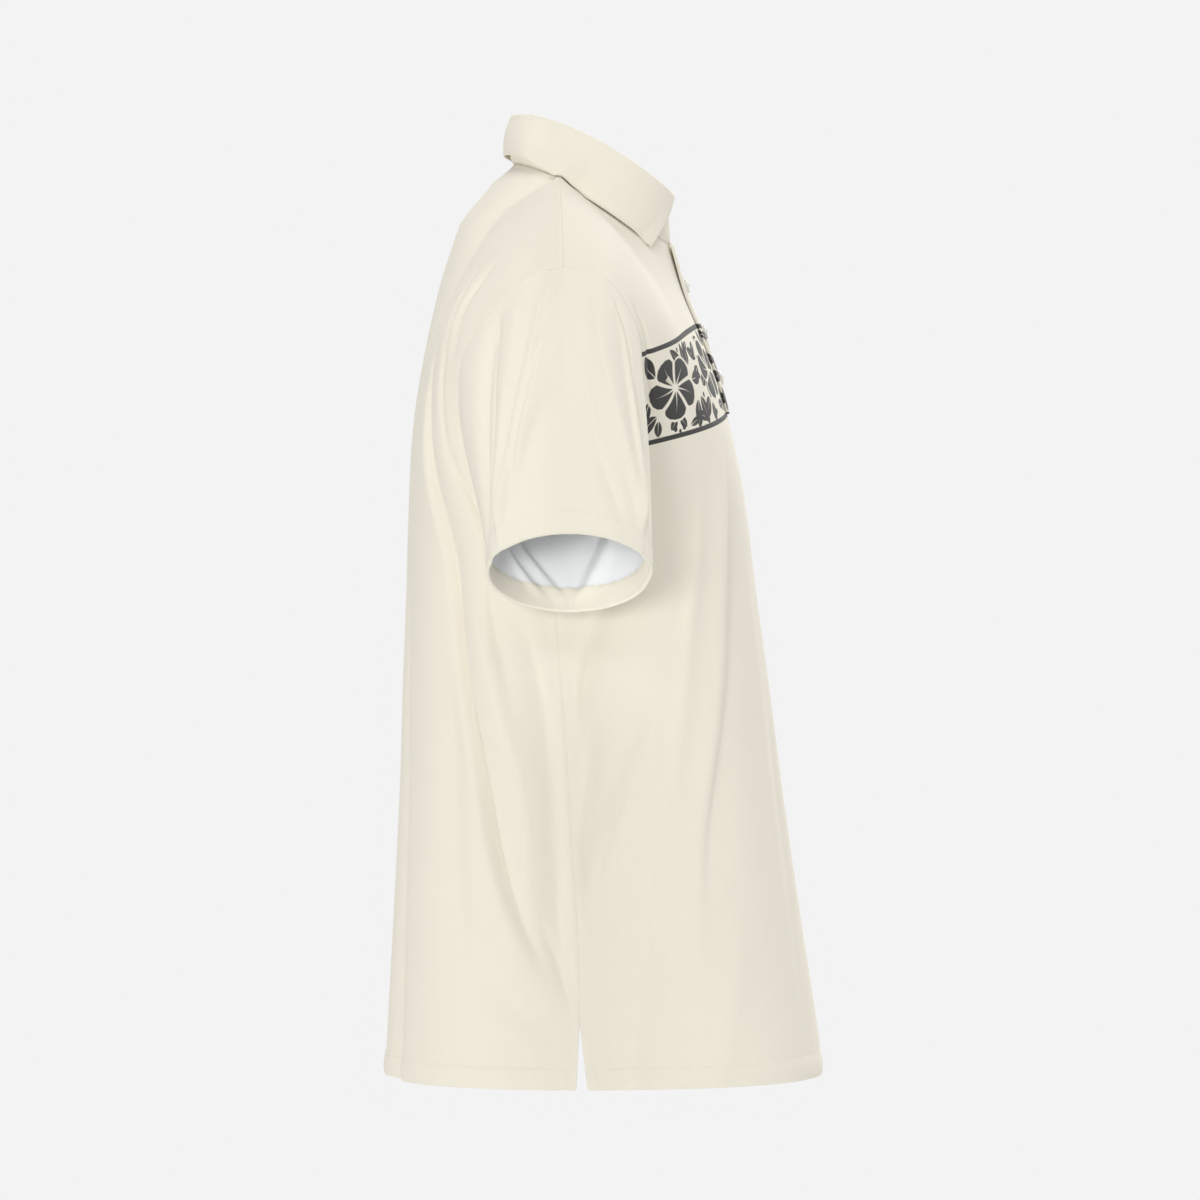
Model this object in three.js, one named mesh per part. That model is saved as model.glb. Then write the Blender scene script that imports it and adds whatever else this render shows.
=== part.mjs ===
// A man's short-sleeved polo shirt in its worn shape, with no wearer in it. Each piece that is cut and
// sewn is a wall of cloth of its own: front, back, two sleeves, collar fall and stand, two placket
// strips, and three buttons. Millimetres, +Z up, the front faces -Y and the wearer's left is +X.
// The origin is in the middle of the neck at the height of the highest points of the shoulders.
import * as THREE from 'three';

// Cloth and seams
const CLOTH = 1.4;
const HEM_CLOTH = 2.6;
const COLLAR_CLOTH = 1.8;
const PLACKET_CLOTH = 1.8;
const SEAM_GAP = 0.36;
const SLEEVE_GAP = 0.5;

// Body
const NECK_HALF_WIDTH = 85;
const NECK_FRONT_DEPTH = 91;
const NECK_BACK_DEPTH = 37;
const NECK_SIDE_Z = 2;
const NECK_FRONT_SLOPE = 0.58;
const NECK_BACK_SLOPE = 0.38;
const NECK_FRONT_POWER = 1.8;
const SHOULDER_DROP = 82;
const SHOULDER_CURVE = 1.5;
const UNDERARM_Z = -283;
const VENT_TOP_Z = -683;
const HEM_Z = -736;
const HEM_DEPTH = 20;
const VENT_OPENING = 9;

// How full the rows of the upper body are, and how fast its edges' own shapes fade into it
const ROW_LEAVE = 1.15;
const ROW_LEVEL_LEAVE = 1.9;
const ROW_ARRIVE = 1.7;
const TOP_FADE = 2.6;
const LOW_FADE = 3;

// Placket, of two strips that lap left over right
const PLACKET_HALF_WIDTH = 16;
const PLACKET_TOP_Z = -48;
const PLACKET_END_Z = -186;
const PLACKET_LAP = 2.25;
const PLACKET_LIFT = 4.5;
const PLACKET_LIFT_END_Z = -112;

// Buttons
const BUTTON_RADIUS = 5.8;
const BUTTON_THICKNESS = 2.6;
const BUTTON_SEAT = 0.45;
const BUTTON_Z = [-84, -122, -160];

// Sleeves: the opening is an ellipse, square to the sleeve's axis
const SLEEVE_LEAN = 31 * Math.PI / 180;
const CUFF_CENTRE = new THREE.Vector3(326.5, -9, -323.2);
const CUFF_HALF_WIDTH = 59.7;
const CUFF_HALF_DEPTH = 64.5;
const SLEEVE_HEM = 22;
const SLEEVE_OVERARM = 250;

// Collar: the fold between stand and fall, and the free edge of the fall
const ROLL_HALF_WIDTH = 73;
const ROLL_BACK_DEPTH = 40;
const ROLL_FRONT_DEPTH = 89.5;
const ROLL_RADIUS = 3;
const FALL_HALF_WIDTH = 93;
const FALL_BACK_DEPTH = 48;
const FALL_FRONT_DEPTH = 100;
const COLLAR_MIDDLE_Y = -2;
const COLLAR_END_ANGLE = 3.05;
const FALL_TIP_ANGLE = 2.42;
const FALL_SPREAD_POWER = 2.5;
const FALL_BELLY = 2.2;
const STAND_LIFT = 1.2;

// How finely each piece is divided
const SHOULDER_COLUMNS = 8;
const FRONT_NECK_COLUMNS = 6;
const BACK_NECK_COLUMNS = 5;
const ARMHOLE_ROWS = 12;
const BODY_ROWS = 13;
const SLEEVE_ROWS = 8;
const COLLAR_COLUMNS = 30;
const FALL_ROWS = 5;
const STAND_ROWS = 3;
const PLACKET_COLUMNS = 6;
const PLACKET_ROWS = 12;
const BUTTON_SIDES = 20;

// Middle of the front, from neckline to hem
const FRONT_PROFILE = [
  { z: -51, y: -91 },
  { z: -90, y: -103 },
  { z: -127, y: -118 },
  { z: -165, y: -131 },
  { z: -203, y: -141 },
  { z: -260, y: -152.5 },
  { z: -330, y: -161 },
  { z: -410, y: -172 },
  { z: -506, y: -184.5 },
  { z: -600, y: -198 },
  { z: -702, y: -213.5 },
  { z: -736, y: -217 },
];

// Middle of the back, from neckline to hem
const BACK_PROFILE = [
  { z: 16, y: 37 },
  { z: 2, y: 53 },
  { z: -29, y: 80 },
  { z: -46, y: 87 },
  { z: -78, y: 97.5 },
  { z: -115, y: 106.5 },
  { z: -156, y: 114.5 },
  { z: -204, y: 121 },
  { z: -266, y: 124.5 },
  { z: -329, y: 126.5 },
  { z: -409, y: 129.5 },
  { z: -506, y: 132.5 },
  { z: -702, y: 142.5 },
  { z: -736, y: 145 },
];

// Side seam, with the half width of the body there and how square its front and back are
const SIDE_SEAM = [
  { z: -283, x: 218, y: 5, front: 2.35, back: 2.35 },
  { z: -353, x: 219, y: 2.4, front: 2.3, back: 2.35 },
  { z: -406, x: 219.5, y: -1.7, front: 2.3, back: 2.35 },
  { z: -469, x: 220, y: -6.4, front: 2.25, back: 2.3 },
  { z: -548, x: 221, y: -11, front: 2.25, back: 2.3 },
  { z: -626, x: 222, y: -16, front: 2.2, back: 2.3 },
  { z: -683, x: 222, y: -17, front: 2.2, back: 2.25 },
  { z: -736, x: 222.5, y: -18.8, front: 2.2, back: 2.25 },
];

// Armhole from the shoulder to the underarm, and the way the cloth runs from it towards the middle
const FRONT_ARMHOLE = [
  { t: 0, x: 245, y: -4, z: -80, inX: -0.79, inY: 0, inZ: 0.61 },
  { t: 0.14, x: 239, y: -34, z: -86, inX: -0.82, inY: -0.25, inZ: 0.5 },
  { t: 0.27, x: 231, y: -52, z: -106, inX: -0.85, inY: -0.42, inZ: 0.3 },
  { t: 0.4, x: 221, y: -64, z: -134, inX: -0.84, inY: -0.55, inZ: 0.12 },
  { t: 0.56, x: 211, y: -65, z: -176, inX: -0.76, inY: -0.65, inZ: 0.03 },
  { t: 0.7, x: 206, y: -60, z: -212, inX: -0.66, inY: -0.75, inZ: 0 },
  { t: 0.81, x: 208.5, y: -48, z: -245, inX: -0.54, inY: -0.84, inZ: 0 },
  { t: 0.91, x: 214.5, y: -26, z: -271, inX: -0.35, inY: -0.94, inZ: 0 },
  { t: 1, x: 218, y: 5, z: -283, inX: 0, inY: -1, inZ: 0 },
];
const BACK_ARMHOLE = [
  { t: 0, x: 245, y: -4, z: -80, inX: -0.79, inY: 0, inZ: 0.61 },
  { t: 0.12, x: 243, y: 22, z: -85, inX: -0.83, inY: 0.2, inZ: 0.5 },
  { t: 0.24, x: 236, y: 46, z: -106, inX: -0.87, inY: 0.36, inZ: 0.32 },
  { t: 0.36, x: 225, y: 65, z: -128, inX: -0.87, inY: 0.48, inZ: 0.15 },
  { t: 0.48, x: 213, y: 77, z: -153, inX: -0.85, inY: 0.52, inZ: 0.05 },
  { t: 0.6, x: 201, y: 79, z: -182, inX: -0.8, inY: 0.6, inZ: 0 },
  { t: 0.72, x: 198, y: 73, z: -214, inX: -0.72, inY: 0.7, inZ: 0 },
  { t: 0.82, x: 203, y: 61, z: -244, inX: -0.6, inY: 0.8, inZ: 0 },
  { t: 0.91, x: 212, y: 39, z: -270, inX: -0.4, inY: 0.92, inZ: 0 },
  { t: 1, x: 218, y: 5, z: -283, inX: 0, inY: 1, inZ: 0 },
];

// Way in which a sleeve leaves the armhole, for places round it from the top over the front
const SLEEVE_START = [
  { round: 0, outX: 0.8, outY: 0, outZ: -0.6 },
  { round: 0.25, outX: 0.62, outY: -0.12, outZ: -0.76 },
  { round: 0.5, outX: 0.8, outY: -0.1, outZ: -0.6 },
  { round: 0.75, outX: 0.62, outY: 0.06, outZ: -0.76 },
  { round: 1, outX: 0.8, outY: 0, outZ: -0.6 },
];

// Folds of the body, from their start level to their end level. from and to give their place, 0 at
// the side and 1 in the middle. A minus depth is a valley and a plus depth a ridge, a bow curves the
// fold sideways, and open folds run out at the hem. side is -1 on the right and 1 on the left.
const BODY_FOLDS = {
  back: [
    { side: -1, start: -150, end: -690, from: 0.3, to: 0.02, bow: 0.05, depth: -8, width: 0.065 },
    { side: -1, start: -190, end: -640, from: 0.45, to: 0.2, bow: 0.04, depth: 4, width: 0.08 },
    { side: -1, start: -270, end: -460, from: 0.18, to: 0.1, depth: -3.5, width: 0.04 },
    { side: -1, start: -300, end: -480, from: 0.1, to: 0.01, bow: -0.01, depth: -5, width: 0.035 },
    { side: -1, start: -330, end: -736, from: 0.68, to: 0.58, depth: 6, width: 0.08, open: true },
    { side: -1, start: -360, end: -736, from: 0.86, to: 0.76, depth: -6, width: 0.09, open: true },
    { side: 1, start: -170, end: -670, from: 0.32, to: 0.05, bow: 0.03, depth: -7, width: 0.07 },
    { side: 1, start: -230, end: -620, from: 0.5, to: 0.26, bow: 0.03, depth: 4, width: 0.08 },
    { side: 1, start: -290, end: -470, from: 0.11, to: 0.02, depth: -4.5, width: 0.04 },
    { side: 1, start: -380, end: -736, from: 0.75, to: 0.66, depth: 4, width: 0.09, open: true },
    { side: 1, start: -420, end: -736, from: 0.5, to: 0.42, depth: -4, width: 0.08, open: true },
  ],
  front: [
    { side: -1, start: -300, end: -470, from: 0.14, to: 0.01, bow: -0.01, depth: -5, width: 0.035 },
    { side: -1, start: -300, end: -560, from: 0.41, to: 0.19, depth: 5, width: 0.06 },
    { side: -1, start: -270, end: -600, from: 0.53, to: 0.29, bow: 0.02, depth: -5, width: 0.06 },
    { side: -1, start: -470, end: -640, from: 0.17, to: 0.02, depth: 4, width: 0.04 },
    { side: -1, start: -560, end: -736, from: 0.42, to: 0.36, depth: -4, width: 0.06, open: true },
    { side: 1, start: -290, end: -480, from: 0.13, to: 0.02, depth: -5, width: 0.04 },
    { side: 1, start: -310, end: -600, from: 0.38, to: 0.2, bow: 0.02, depth: 5, width: 0.06 },
    { side: 1, start: -250, end: -570, from: 0.5, to: 0.31, depth: -4.5, width: 0.06 },
    { side: 1, start: -580, end: -736, from: 0.5, to: 0.46, depth: -4, width: 0.07, open: true },
  ],
};

// Folds of the sleeves, from 0 at the armhole to 1 at the cuff. Their place is 0 on top, 0.25 in
// front, 0.5 at the underarm and 0.75 behind.
const SLEEVE_FOLDS = [
  { side: -1, start: 0, end: 1, from: 0.96, to: 0.8, depth: 4.5, width: 0.05 },
  { side: -1, start: 0, end: 0.9, from: 0.86, to: 0.73, depth: -6, width: 0.045 },
  { side: -1, start: 0.1, end: 1, from: 0.09, to: 0.2, depth: 3, width: 0.05 },
  { side: -1, start: 0.05, end: 0.8, from: 0.24, to: 0.3, depth: -4, width: 0.04 },
  { side: 1, start: 0, end: 1, from: 0.95, to: 0.82, depth: 4, width: 0.06 },
  { side: 1, start: 0, end: 0.85, from: 0.84, to: 0.74, depth: -5, width: 0.05 },
  { side: 1, start: 0.1, end: 0.9, from: 0.24, to: 0.28, depth: -4, width: 0.045 },
];

const vec = (x, y, z) => new THREE.Vector3(x, y, z);
const mix = (a, b, share) => a + (b - a) * share;
const clamp = (value) => Math.min(Math.max(value, 0), 1);
const ease = (value) => clamp(value) ** 2 * (3 - 2 * clamp(value));

// A smooth curve through one column of a table
function curveOf(rows, by, column) {
  const slope = rows.map((row, i) => {
    const before = rows[Math.max(i - 1, 0)];
    const after = rows[Math.min(i + 1, rows.length - 1)];
    return (after[column] - before[column]) / (after[by] - before[by]);
  });
  const rising = rows[rows.length - 1][by] > rows[0][by];
  return (place) => {
    let i = 0;
    while (i < rows.length - 2 && (rising ? place > rows[i + 1][by] : place < rows[i + 1][by])) {
      i += 1;
    }
    const span = rows[i + 1][by] - rows[i][by];
    const t = clamp((place - rows[i][by]) / span);
    return hermite(rows[i][column], slope[i] * span, rows[i + 1][column], slope[i + 1] * span, t);
  };
}

function hermite(a, leaveA, b, reachB, t) {
  const t2 = t * t;
  const t3 = t2 * t;
  return a * (2 * t3 - 3 * t2 + 1) + leaveA * (t3 - 2 * t2 + t) + b * (3 * t2 - 2 * t3)
    + reachB * (t3 - t2);
}

function hermitePoint(a, leaveA, b, reachB, t) {
  return vec(
    hermite(a.x, leaveA.x, b.x, reachB.x, t),
    hermite(a.y, leaveA.y, b.y, reachB.y, t),
    hermite(a.z, leaveA.z, b.z, reachB.z, t),
  );
}

// Point of the neck seam: 0 at the middle of the back, pi / 2 at the shoulder, pi at the front
function neckSeam(angle) {
  if (angle <= Math.PI / 2) {
    const y = NECK_BACK_DEPTH * Math.cos(angle);
    return vec(NECK_HALF_WIDTH * Math.sin(angle), y, NECK_SIDE_Z + NECK_BACK_SLOPE * y);
  }
  const power = 2 / NECK_FRONT_POWER;
  const y = -NECK_FRONT_DEPTH * Math.abs(Math.cos(angle)) ** power;
  const x = NECK_HALF_WIDTH * Math.abs(Math.sin(angle)) ** power;
  return vec(x, y, NECK_SIDE_Z + NECK_FRONT_SLOPE * y);
}

// Angle on the neck seam at which the front reaches a given half width
function neckAngleAt(x) {
  return Math.PI - Math.asin((x / NECK_HALF_WIDTH) ** (NECK_FRONT_POWER / 2));
}

// Point of the shoulder seam: 0 at the armhole, 1 at the neck
function shoulderSeam(share) {
  const end = FRONT_ARMHOLE[0];
  const out = 1 - share;
  return vec(
    mix(NECK_HALF_WIDTH, end.x, out),
    end.y * out,
    NECK_SIDE_Z - SHOULDER_DROP * out ** SHOULDER_CURVE,
  );
}

const profiles = { front: curveOf(FRONT_PROFILE, 'z', 'y'), back: curveOf(BACK_PROFILE, 'z', 'y') };
const sideX = curveOf(SIDE_SEAM, 'z', 'x');
const sideY = curveOf(SIDE_SEAM, 'z', 'y');
const squareness = {
  front: curveOf(SIDE_SEAM, 'z', 'front'),
  back: curveOf(SIDE_SEAM, 'z', 'back'),
};

// Level section of the body below the underarm: across 0 at the side seam, 1 at middleX
function section(face, z, across, middleX) {
  const halfWidth = sideX(z);
  const depth = profiles[face](z) - sideY(z);
  const power = squareness[face](z);
  const last = Math.PI / 2 - Math.atan2(middleX, Math.abs(depth));
  const angle = across * last;
  const radius = ((Math.cos(angle) / halfWidth) ** power
    + (Math.sin(angle) / Math.abs(depth)) ** power) ** (-1 / power);
  return vec(radius * Math.cos(angle), sideY(z) + Math.sign(depth) * radius * Math.sin(angle), z);
}

// Shape of one half of the front or back above the underarm. Rows run from the armhole (across 0) to
// the middle (across 1). The first is drawn up to the shoulder and neck seams, and the last down to
// the level section at the underarm.
function upperPanel(face, middleX) {
  const armhole = face === 'front' ? FRONT_ARMHOLE : BACK_ARMHOLE;
  const curves = {};
  for (const column of ['x', 'y', 'z', 'inX', 'inY', 'inZ']) {
    curves[column] = curveOf(armhole, 't', column);
  }
  const neckColumns = face === 'front' ? FRONT_NECK_COLUMNS : BACK_NECK_COLUMNS;
  const shoulderShare = SHOULDER_COLUMNS / (SHOULDER_COLUMNS + neckColumns);
  const neckEnd = face === 'front' ? neckAngleAt(middleX) : 0;

  const top = (across) => {
    if (across <= shoulderShare) {
      return shoulderSeam(across / shoulderShare);
    }
    const share = (across - shoulderShare) / (1 - shoulderShare);
    return neckSeam(mix(Math.PI / 2, neckEnd, share));
  };
  const middle = (t) => {
    const z = mix(top(1).z, UNDERARM_Z, t);
    const low = section(face, UNDERARM_Z, 1, middleX).y - profiles[face](UNDERARM_Z);
    const high = top(1).y - profiles[face](top(1).z);
    return vec(middleX, profiles[face](z) + mix(high, low, t), z);
  };
  const row = (across, t) => {
    const edge = vec(curves.x(t), curves.y(t), curves.z(t));
    const end = middle(t);
    const leave = vec(curves.inX(t), curves.inY(t), curves.inZ(t));
    const level = Math.abs(end.y - edge.y) * ROW_LEVEL_LEAVE;
    leave.setLength(mix(edge.distanceTo(end) * ROW_LEAVE, level, t));
    const arrive = vec((middleX - edge.x) * ROW_ARRIVE, 0, 0);
    return hermitePoint(edge, leave, end, arrive, across);
  };
  return (across, t) => {
    const toTop = top(across).sub(row(across, 0)).multiplyScalar((1 - t) ** TOP_FADE);
    const low = section(face, UNDERARM_Z, across, middleX);
    const toLow = low.sub(row(across, 1)).multiplyScalar(t ** LOW_FADE);
    return row(across, t).add(toTop).add(toLow);
  };
}

// Height of all folds of a table at one place of a piece, over its cloth at rest
function foldHeight(folds, place, along) {
  let height = 0;
  for (const fold of folds) {
    const share = (along - fold.start) / (fold.end - fold.start);
    if (share <= 0 || (share >= 1 && !fold.open)) {
      continue;
    }
    const middle = mix(fold.from, fold.to, share) + (fold.bow ?? 0) * 4 * share * (1 - share);
    const swell = fold.open ? ease(share / 0.4) : Math.sin(Math.PI * share);
    height += fold.depth * swell * Math.exp(-(((place - middle) / fold.width) ** 2));
  }
  return height;
}

// A piece of cloth as rows of points down its middle surface. Rows run down or along the piece and
// columns run so that row x column faces outwards. A ring joins its last column to its first.
function cloth(name, points, choices = {}) {
  return { name, points, ring: false, kept: () => true, thickness: () => CLOTH, gap: SEAM_GAP / 2,
    ...choices };
}

const columnsOf = (piece) => piece.points[0].length;
const cellsAcross = (piece) => columnsOf(piece) - (piece.ring ? 0 : 1);
const nameOf = (point) => [point.x, point.y, point.z].map((v) => Math.round(v * 50)).join();

function eachCell(piece, visit) {
  for (let r = 0; r < piece.points.length - 1; r += 1) {
    for (let c = 0; c < cellsAcross(piece); c += 1) {
      if (piece.kept(r, c)) {
        visit(r, c, (c + 1) % columnsOf(piece));
      }
    }
  }
}

// Normals of several pieces together, so that walls that meet at a seam are mitred
function sharedNormals(pieces) {
  const sums = new Map();
  for (const piece of pieces) {
    eachCell(piece, (r, c, next) => {
      const corners = [piece.points[r][c], piece.points[r][next], piece.points[r + 1][c],
        piece.points[r + 1][next]];
      const down = corners[3].clone().sub(corners[0]);
      const across = corners[1].clone().sub(corners[2]);
      const normal = down.cross(across);
      for (const corner of corners) {
        const key = nameOf(corner);
        sums.set(key, (sums.get(key) ?? vec(0, 0, 0)).add(normal));
      }
    });
  }
  return (point) => (sums.get(nameOf(point)) ?? vec(0, 0, 1)).clone().normalize();
}

function normalsOf(piece, lookup) {
  return piece.points.map((row) => row.map(lookup));
}

// Moves a piece's points along its normals by a height for each
function raised(piece, height) {
  const normals = normalsOf(piece, sharedNormals([piece]));
  const points = piece.points.map((row, r) => row.map((point, c) => (
    point.clone().addScaledVector(normals[r][c], height(r, c)))));
  return { ...piece, points };
}

// Draws each open edge of a piece back by its share of a seam's gap, square to the edge
function drawnBack(piece, normals) {
  const { points, ring } = piece;
  const last = points.length - 1;
  const end = columnsOf(piece) - 1;
  const count = columnsOf(piece);
  const outward = (normal, from, to) => to.clone().sub(from).cross(normal).normalize();
  return points.map((row, r) => row.map((point, c) => {
    const before = ring ? row[(c + end) % count] : row[Math.max(c - 1, 0)];
    const after = ring ? row[(c + 1) % count] : row[Math.min(c + 1, end)];
    const above = points[Math.max(r - 1, 0)][c];
    const below = points[Math.min(r + 1, last)][c];
    const away = vec(0, 0, 0);
    if (r === 0) {
      away.add(outward(normals[r][c], after, before));
    }
    if (r === last) {
      away.add(outward(normals[r][c], before, after));
    }
    if (!ring && c === 0) {
      away.add(outward(normals[r][c], above, below));
    }
    if (!ring && c === end) {
      away.add(outward(normals[r][c], below, above));
    }
    return point.clone().addScaledVector(away, -piece.gap);
  }));
}

// Closed wall around a piece's middle surface
function wall(piece, normals) {
  const points = drawnBack(piece, normals);
  const across = columnsOf(piece);
  const positions = [];
  const numbers = new Map();
  const corner = (r, c, side) => {
    const key = `${r},${c},${side}`;
    if (!numbers.has(key)) {
      const reach = (piece.thickness(r, c) / 2) * side;
      const point = points[r][c].clone().addScaledVector(normals[r][c], reach);
      numbers.set(key, positions.length / 3);
      positions.push(point.x, point.y, point.z);
    }
    return numbers.get(key);
  };
  const place = (number) => vec(...positions.slice(number * 3, number * 3 + 3));
  const apart = (a, b) => place(a).distanceTo(place(b));
  const index = [];
  const isKept = (r, c) => {
    const column = piece.ring ? (c + across) % across : c;
    return r >= 0 && r < points.length - 1 && column >= 0 && column < cellsAcross(piece)
      && piece.kept(r, column);
  };
  eachCell(piece, (r, c, next) => {
    const falling = points[r][c].distanceTo(points[r + 1][next]);
    const rising = points[r][next].distanceTo(points[r + 1][c]);
    for (const side of [1, -1]) {
      const [a, b] = [corner(r, c, side), corner(r, next, side)];
      const [d, e] = [corner(r + 1, c, side), corner(r + 1, next, side)];
      const outer = rising < falling ? [a, d, b, b, d, e] : [a, d, e, a, e, b];
      index.push(...(side > 0 ? outer : outer.reverse()));
    }
    const edges = [
      { open: !isKept(r - 1, c), from: [r, next], to: [r, c] },
      { open: !isKept(r + 1, c), from: [r + 1, c], to: [r + 1, next] },
      { open: !isKept(r, c - 1), from: [r, c], to: [r + 1, c] },
      { open: !isKept(r, c + 1), from: [r + 1, next], to: [r, next] },
    ];
    for (const { open, from, to } of edges) {
      if (open) {
        const [p, q] = [corner(...from, 1), corner(...to, 1)];
        const [pIn, qIn] = [corner(...from, -1), corner(...to, -1)];
        index.push(...(apart(q, pIn) < apart(p, qIn) ? [q, p, pIn, q, pIn, qIn]
          : [q, p, qIn, p, pIn, qIn]));
      }
    }
  });
  const geometry = new THREE.BufferGeometry();
  geometry.setAttribute('position', new THREE.Float32BufferAttribute(positions, 3));
  geometry.setIndex(index);
  geometry.computeVertexNormals();
  return geometry;
}

const evenly = (count) => Array.from({ length: count + 1 }, (_, i) => i / count);
const mirrored = (point, side) => vec(point.x * side, point.y, point.z);

// Levels of the body's rows below the underarm, with one at the vents' top and one at the hem fold
const lowLevels = [
  ...evenly(BODY_ROWS - 2).slice(1).map((share) => mix(UNDERARM_Z, VENT_TOP_Z, share)),
  HEM_Z + HEM_DEPTH,
  HEM_Z,
];
const topShare = evenly(ARMHOLE_ROWS);

// Opening of a vent at one level and place of the body
function ventShift(face, z, across) {
  const open = clamp((VENT_TOP_Z - z) / (VENT_TOP_Z - HEM_Z));
  const side = face === 'front' ? -1 : 1;
  return (side * VENT_OPENING * open * (1 - ease(across / 0.2))) / 2;
}

function bodyHalf(face, middleX) {
  const neckColumns = face === 'front' ? FRONT_NECK_COLUMNS : BACK_NECK_COLUMNS;
  const upper = upperPanel(face, middleX);
  const places = evenly(SHOULDER_COLUMNS + neckColumns);
  const high = topShare.map((t) => places.map((across) => upper(across, t)));
  const low = lowLevels.map((z) => places.map((across) => {
    const point = section(face, z, across, middleX);
    point.y += ventShift(face, z, across);
    return point;
  }));
  return { places, rows: [...high, ...low] };
}

function bodyPanel(face) {
  const middleX = face === 'front' ? PLACKET_HALF_WIDTH : 0;
  const half = bodyHalf(face, middleX);
  const columns = [];
  for (const place of half.places) {
    columns.push({ place, side: -1 });
  }
  columns.push({ place: 1, side: 0 });
  for (const place of [...half.places].reverse()) {
    columns.push({ place, side: 1 });
  }
  if (face === 'back') {
    columns.splice(half.places.length - 1, 1);
    columns.splice(half.places.length - 1, 1);
    columns.reverse();
  }
  const points = half.rows.map((row) => columns.map(({ place, side }) => {
    const point = row[half.places.indexOf(place)];
    if (side === 0) {
      return vec(0, profiles.front(point.z), point.z);
    }
    return mirrored(point, side || 1);
  }));
  const lowest = points.findIndex((row) => row[half.places.length - 1].z < PLACKET_END_Z + 9);
  const slotStart = half.places.length - 1;
  const kept = (r, c) => (
    face === 'back' || r >= lowest || c < slotStart || c > slotStart + 1);
  const thickness = (r) => (r >= points.length - 2 ? HEM_CLOTH : CLOTH);
  const flat = cloth(face, points, { kept, thickness });
  return raised(flat, (r, c) => {
    const { place, side } = columns[c];
    const folds = BODY_FOLDS[face].filter((fold) => fold.side === side);
    return foldHeight(folds, place, points[r][c].z) * ease(place / 0.06);
  });
}

// A sleeve is lofted from the armhole to the cuff. round is 0 on top, 0.5 at the underarm.
function sleeve(name, side) {
  const edges = {};
  for (const [face, rows] of [['front', FRONT_ARMHOLE], ['back', BACK_ARMHOLE]]) {
    edges[face] = ['x', 'y', 'z'].map((column) => curveOf(rows, 't', column));
  }
  const outward = vec(Math.cos(SLEEVE_LEAN), 0, Math.sin(SLEEVE_LEAN));
  const axis = vec(Math.sin(SLEEVE_LEAN), 0, -Math.cos(SLEEVE_LEAN));
  const leaving = curveOf(SLEEVE_START, 'round', 'outX');
  const falling = curveOf(SLEEVE_START, 'round', 'outZ');
  const turning = curveOf(SLEEVE_START, 'round', 'outY');

  const around = evenly(ARMHOLE_ROWS * 2).slice(0, -1);
  if (side > 0) {
    around.reverse();
  }
  const along = evenly(SLEEVE_ROWS);
  const hemRow = 1 - SLEEVE_HEM / SLEEVE_OVERARM;
  along.splice(SLEEVE_ROWS, 0, hemRow);
  const points = along.map((share) => around.map((round) => {
    const face = round <= 0.5 ? 'front' : 'back';
    const t = round <= 0.5 ? round * 2 : 2 - round * 2;
    const start = vec(...edges[face].map((curve) => curve(t)));
    const angle = Math.PI * t;
    const across = face === 'front' ? -1 : 1;
    const end = CUFF_CENTRE.clone().addScaledVector(outward, CUFF_HALF_WIDTH * Math.cos(angle));
    end.y += across * CUFF_HALF_DEPTH * Math.sin(angle);
    const reach = start.distanceTo(end);
    const leave = vec(leaving(round), turning(round), falling(round)).setLength(reach);
    const arrive = axis.clone().multiplyScalar(reach);
    return mirrored(hermitePoint(start, leave, end, arrive, share), side);
  }));
  const thickness = (r) => (r >= along.length - 2 ? HEM_CLOTH : CLOTH);
  const flat = cloth(name, points, { ring: true, thickness, gap: SLEEVE_GAP });
  return raised(flat, (r, c) => {
    const folds = SLEEVE_FOLDS.filter((fold) => fold.side === side);
    return foldHeight(folds, around[c], along[r]) * ease(along[r] / 0.12);
  });
}

// Fold line between the collar's stand and fall
function rollLine(angle) {
  const depth = angle < Math.PI / 2 ? ROLL_BACK_DEPTH : ROLL_FRONT_DEPTH;
  const y = COLLAR_MIDDLE_Y + depth * Math.cos(angle);
  return vec(ROLL_HALF_WIDTH * Math.sin(angle), y, 46.7 + 0.37 * y - 0.0024 * y * y);
}

// Free edge of the collar's fall
function fallEdge(angle) {
  const depth = angle < Math.PI / 2 ? FALL_BACK_DEPTH : FALL_FRONT_DEPTH;
  const y = COLLAR_MIDDLE_Y + depth * Math.cos(angle);
  return vec(FALL_HALF_WIDTH * Math.sin(angle), y, 3.5 + 0.62 * y - 0.0012 * y * y);
}

// Shares along the collar from its right end (-1) over the back (0) to its left end (1)
const collarPlaces = evenly(COLLAR_COLUMNS).map((share) => share * 2 - 1).reverse();

// Middle of the roll, the way out from it and the point of the free edge, for one place
function rollFrame(place) {
  const size = Math.abs(place);
  const side = Math.sign(place) || 1;
  const angle = size * COLLAR_END_ANGLE;
  const middle = rollLine(angle);
  const ahead = rollLine(angle + 0.01).sub(rollLine(angle - 0.01));
  const out = vec(-ahead.y, ahead.x, 0).normalize();
  const edge = fallEdge(angle - (COLLAR_END_ANGLE - FALL_TIP_ANGLE) * size ** FALL_SPREAD_POWER);
  middle.z -= ROLL_RADIUS;
  return { middle: mirrored(middle, side), out: mirrored(out, side), edge: mirrored(edge, side) };
}

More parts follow.
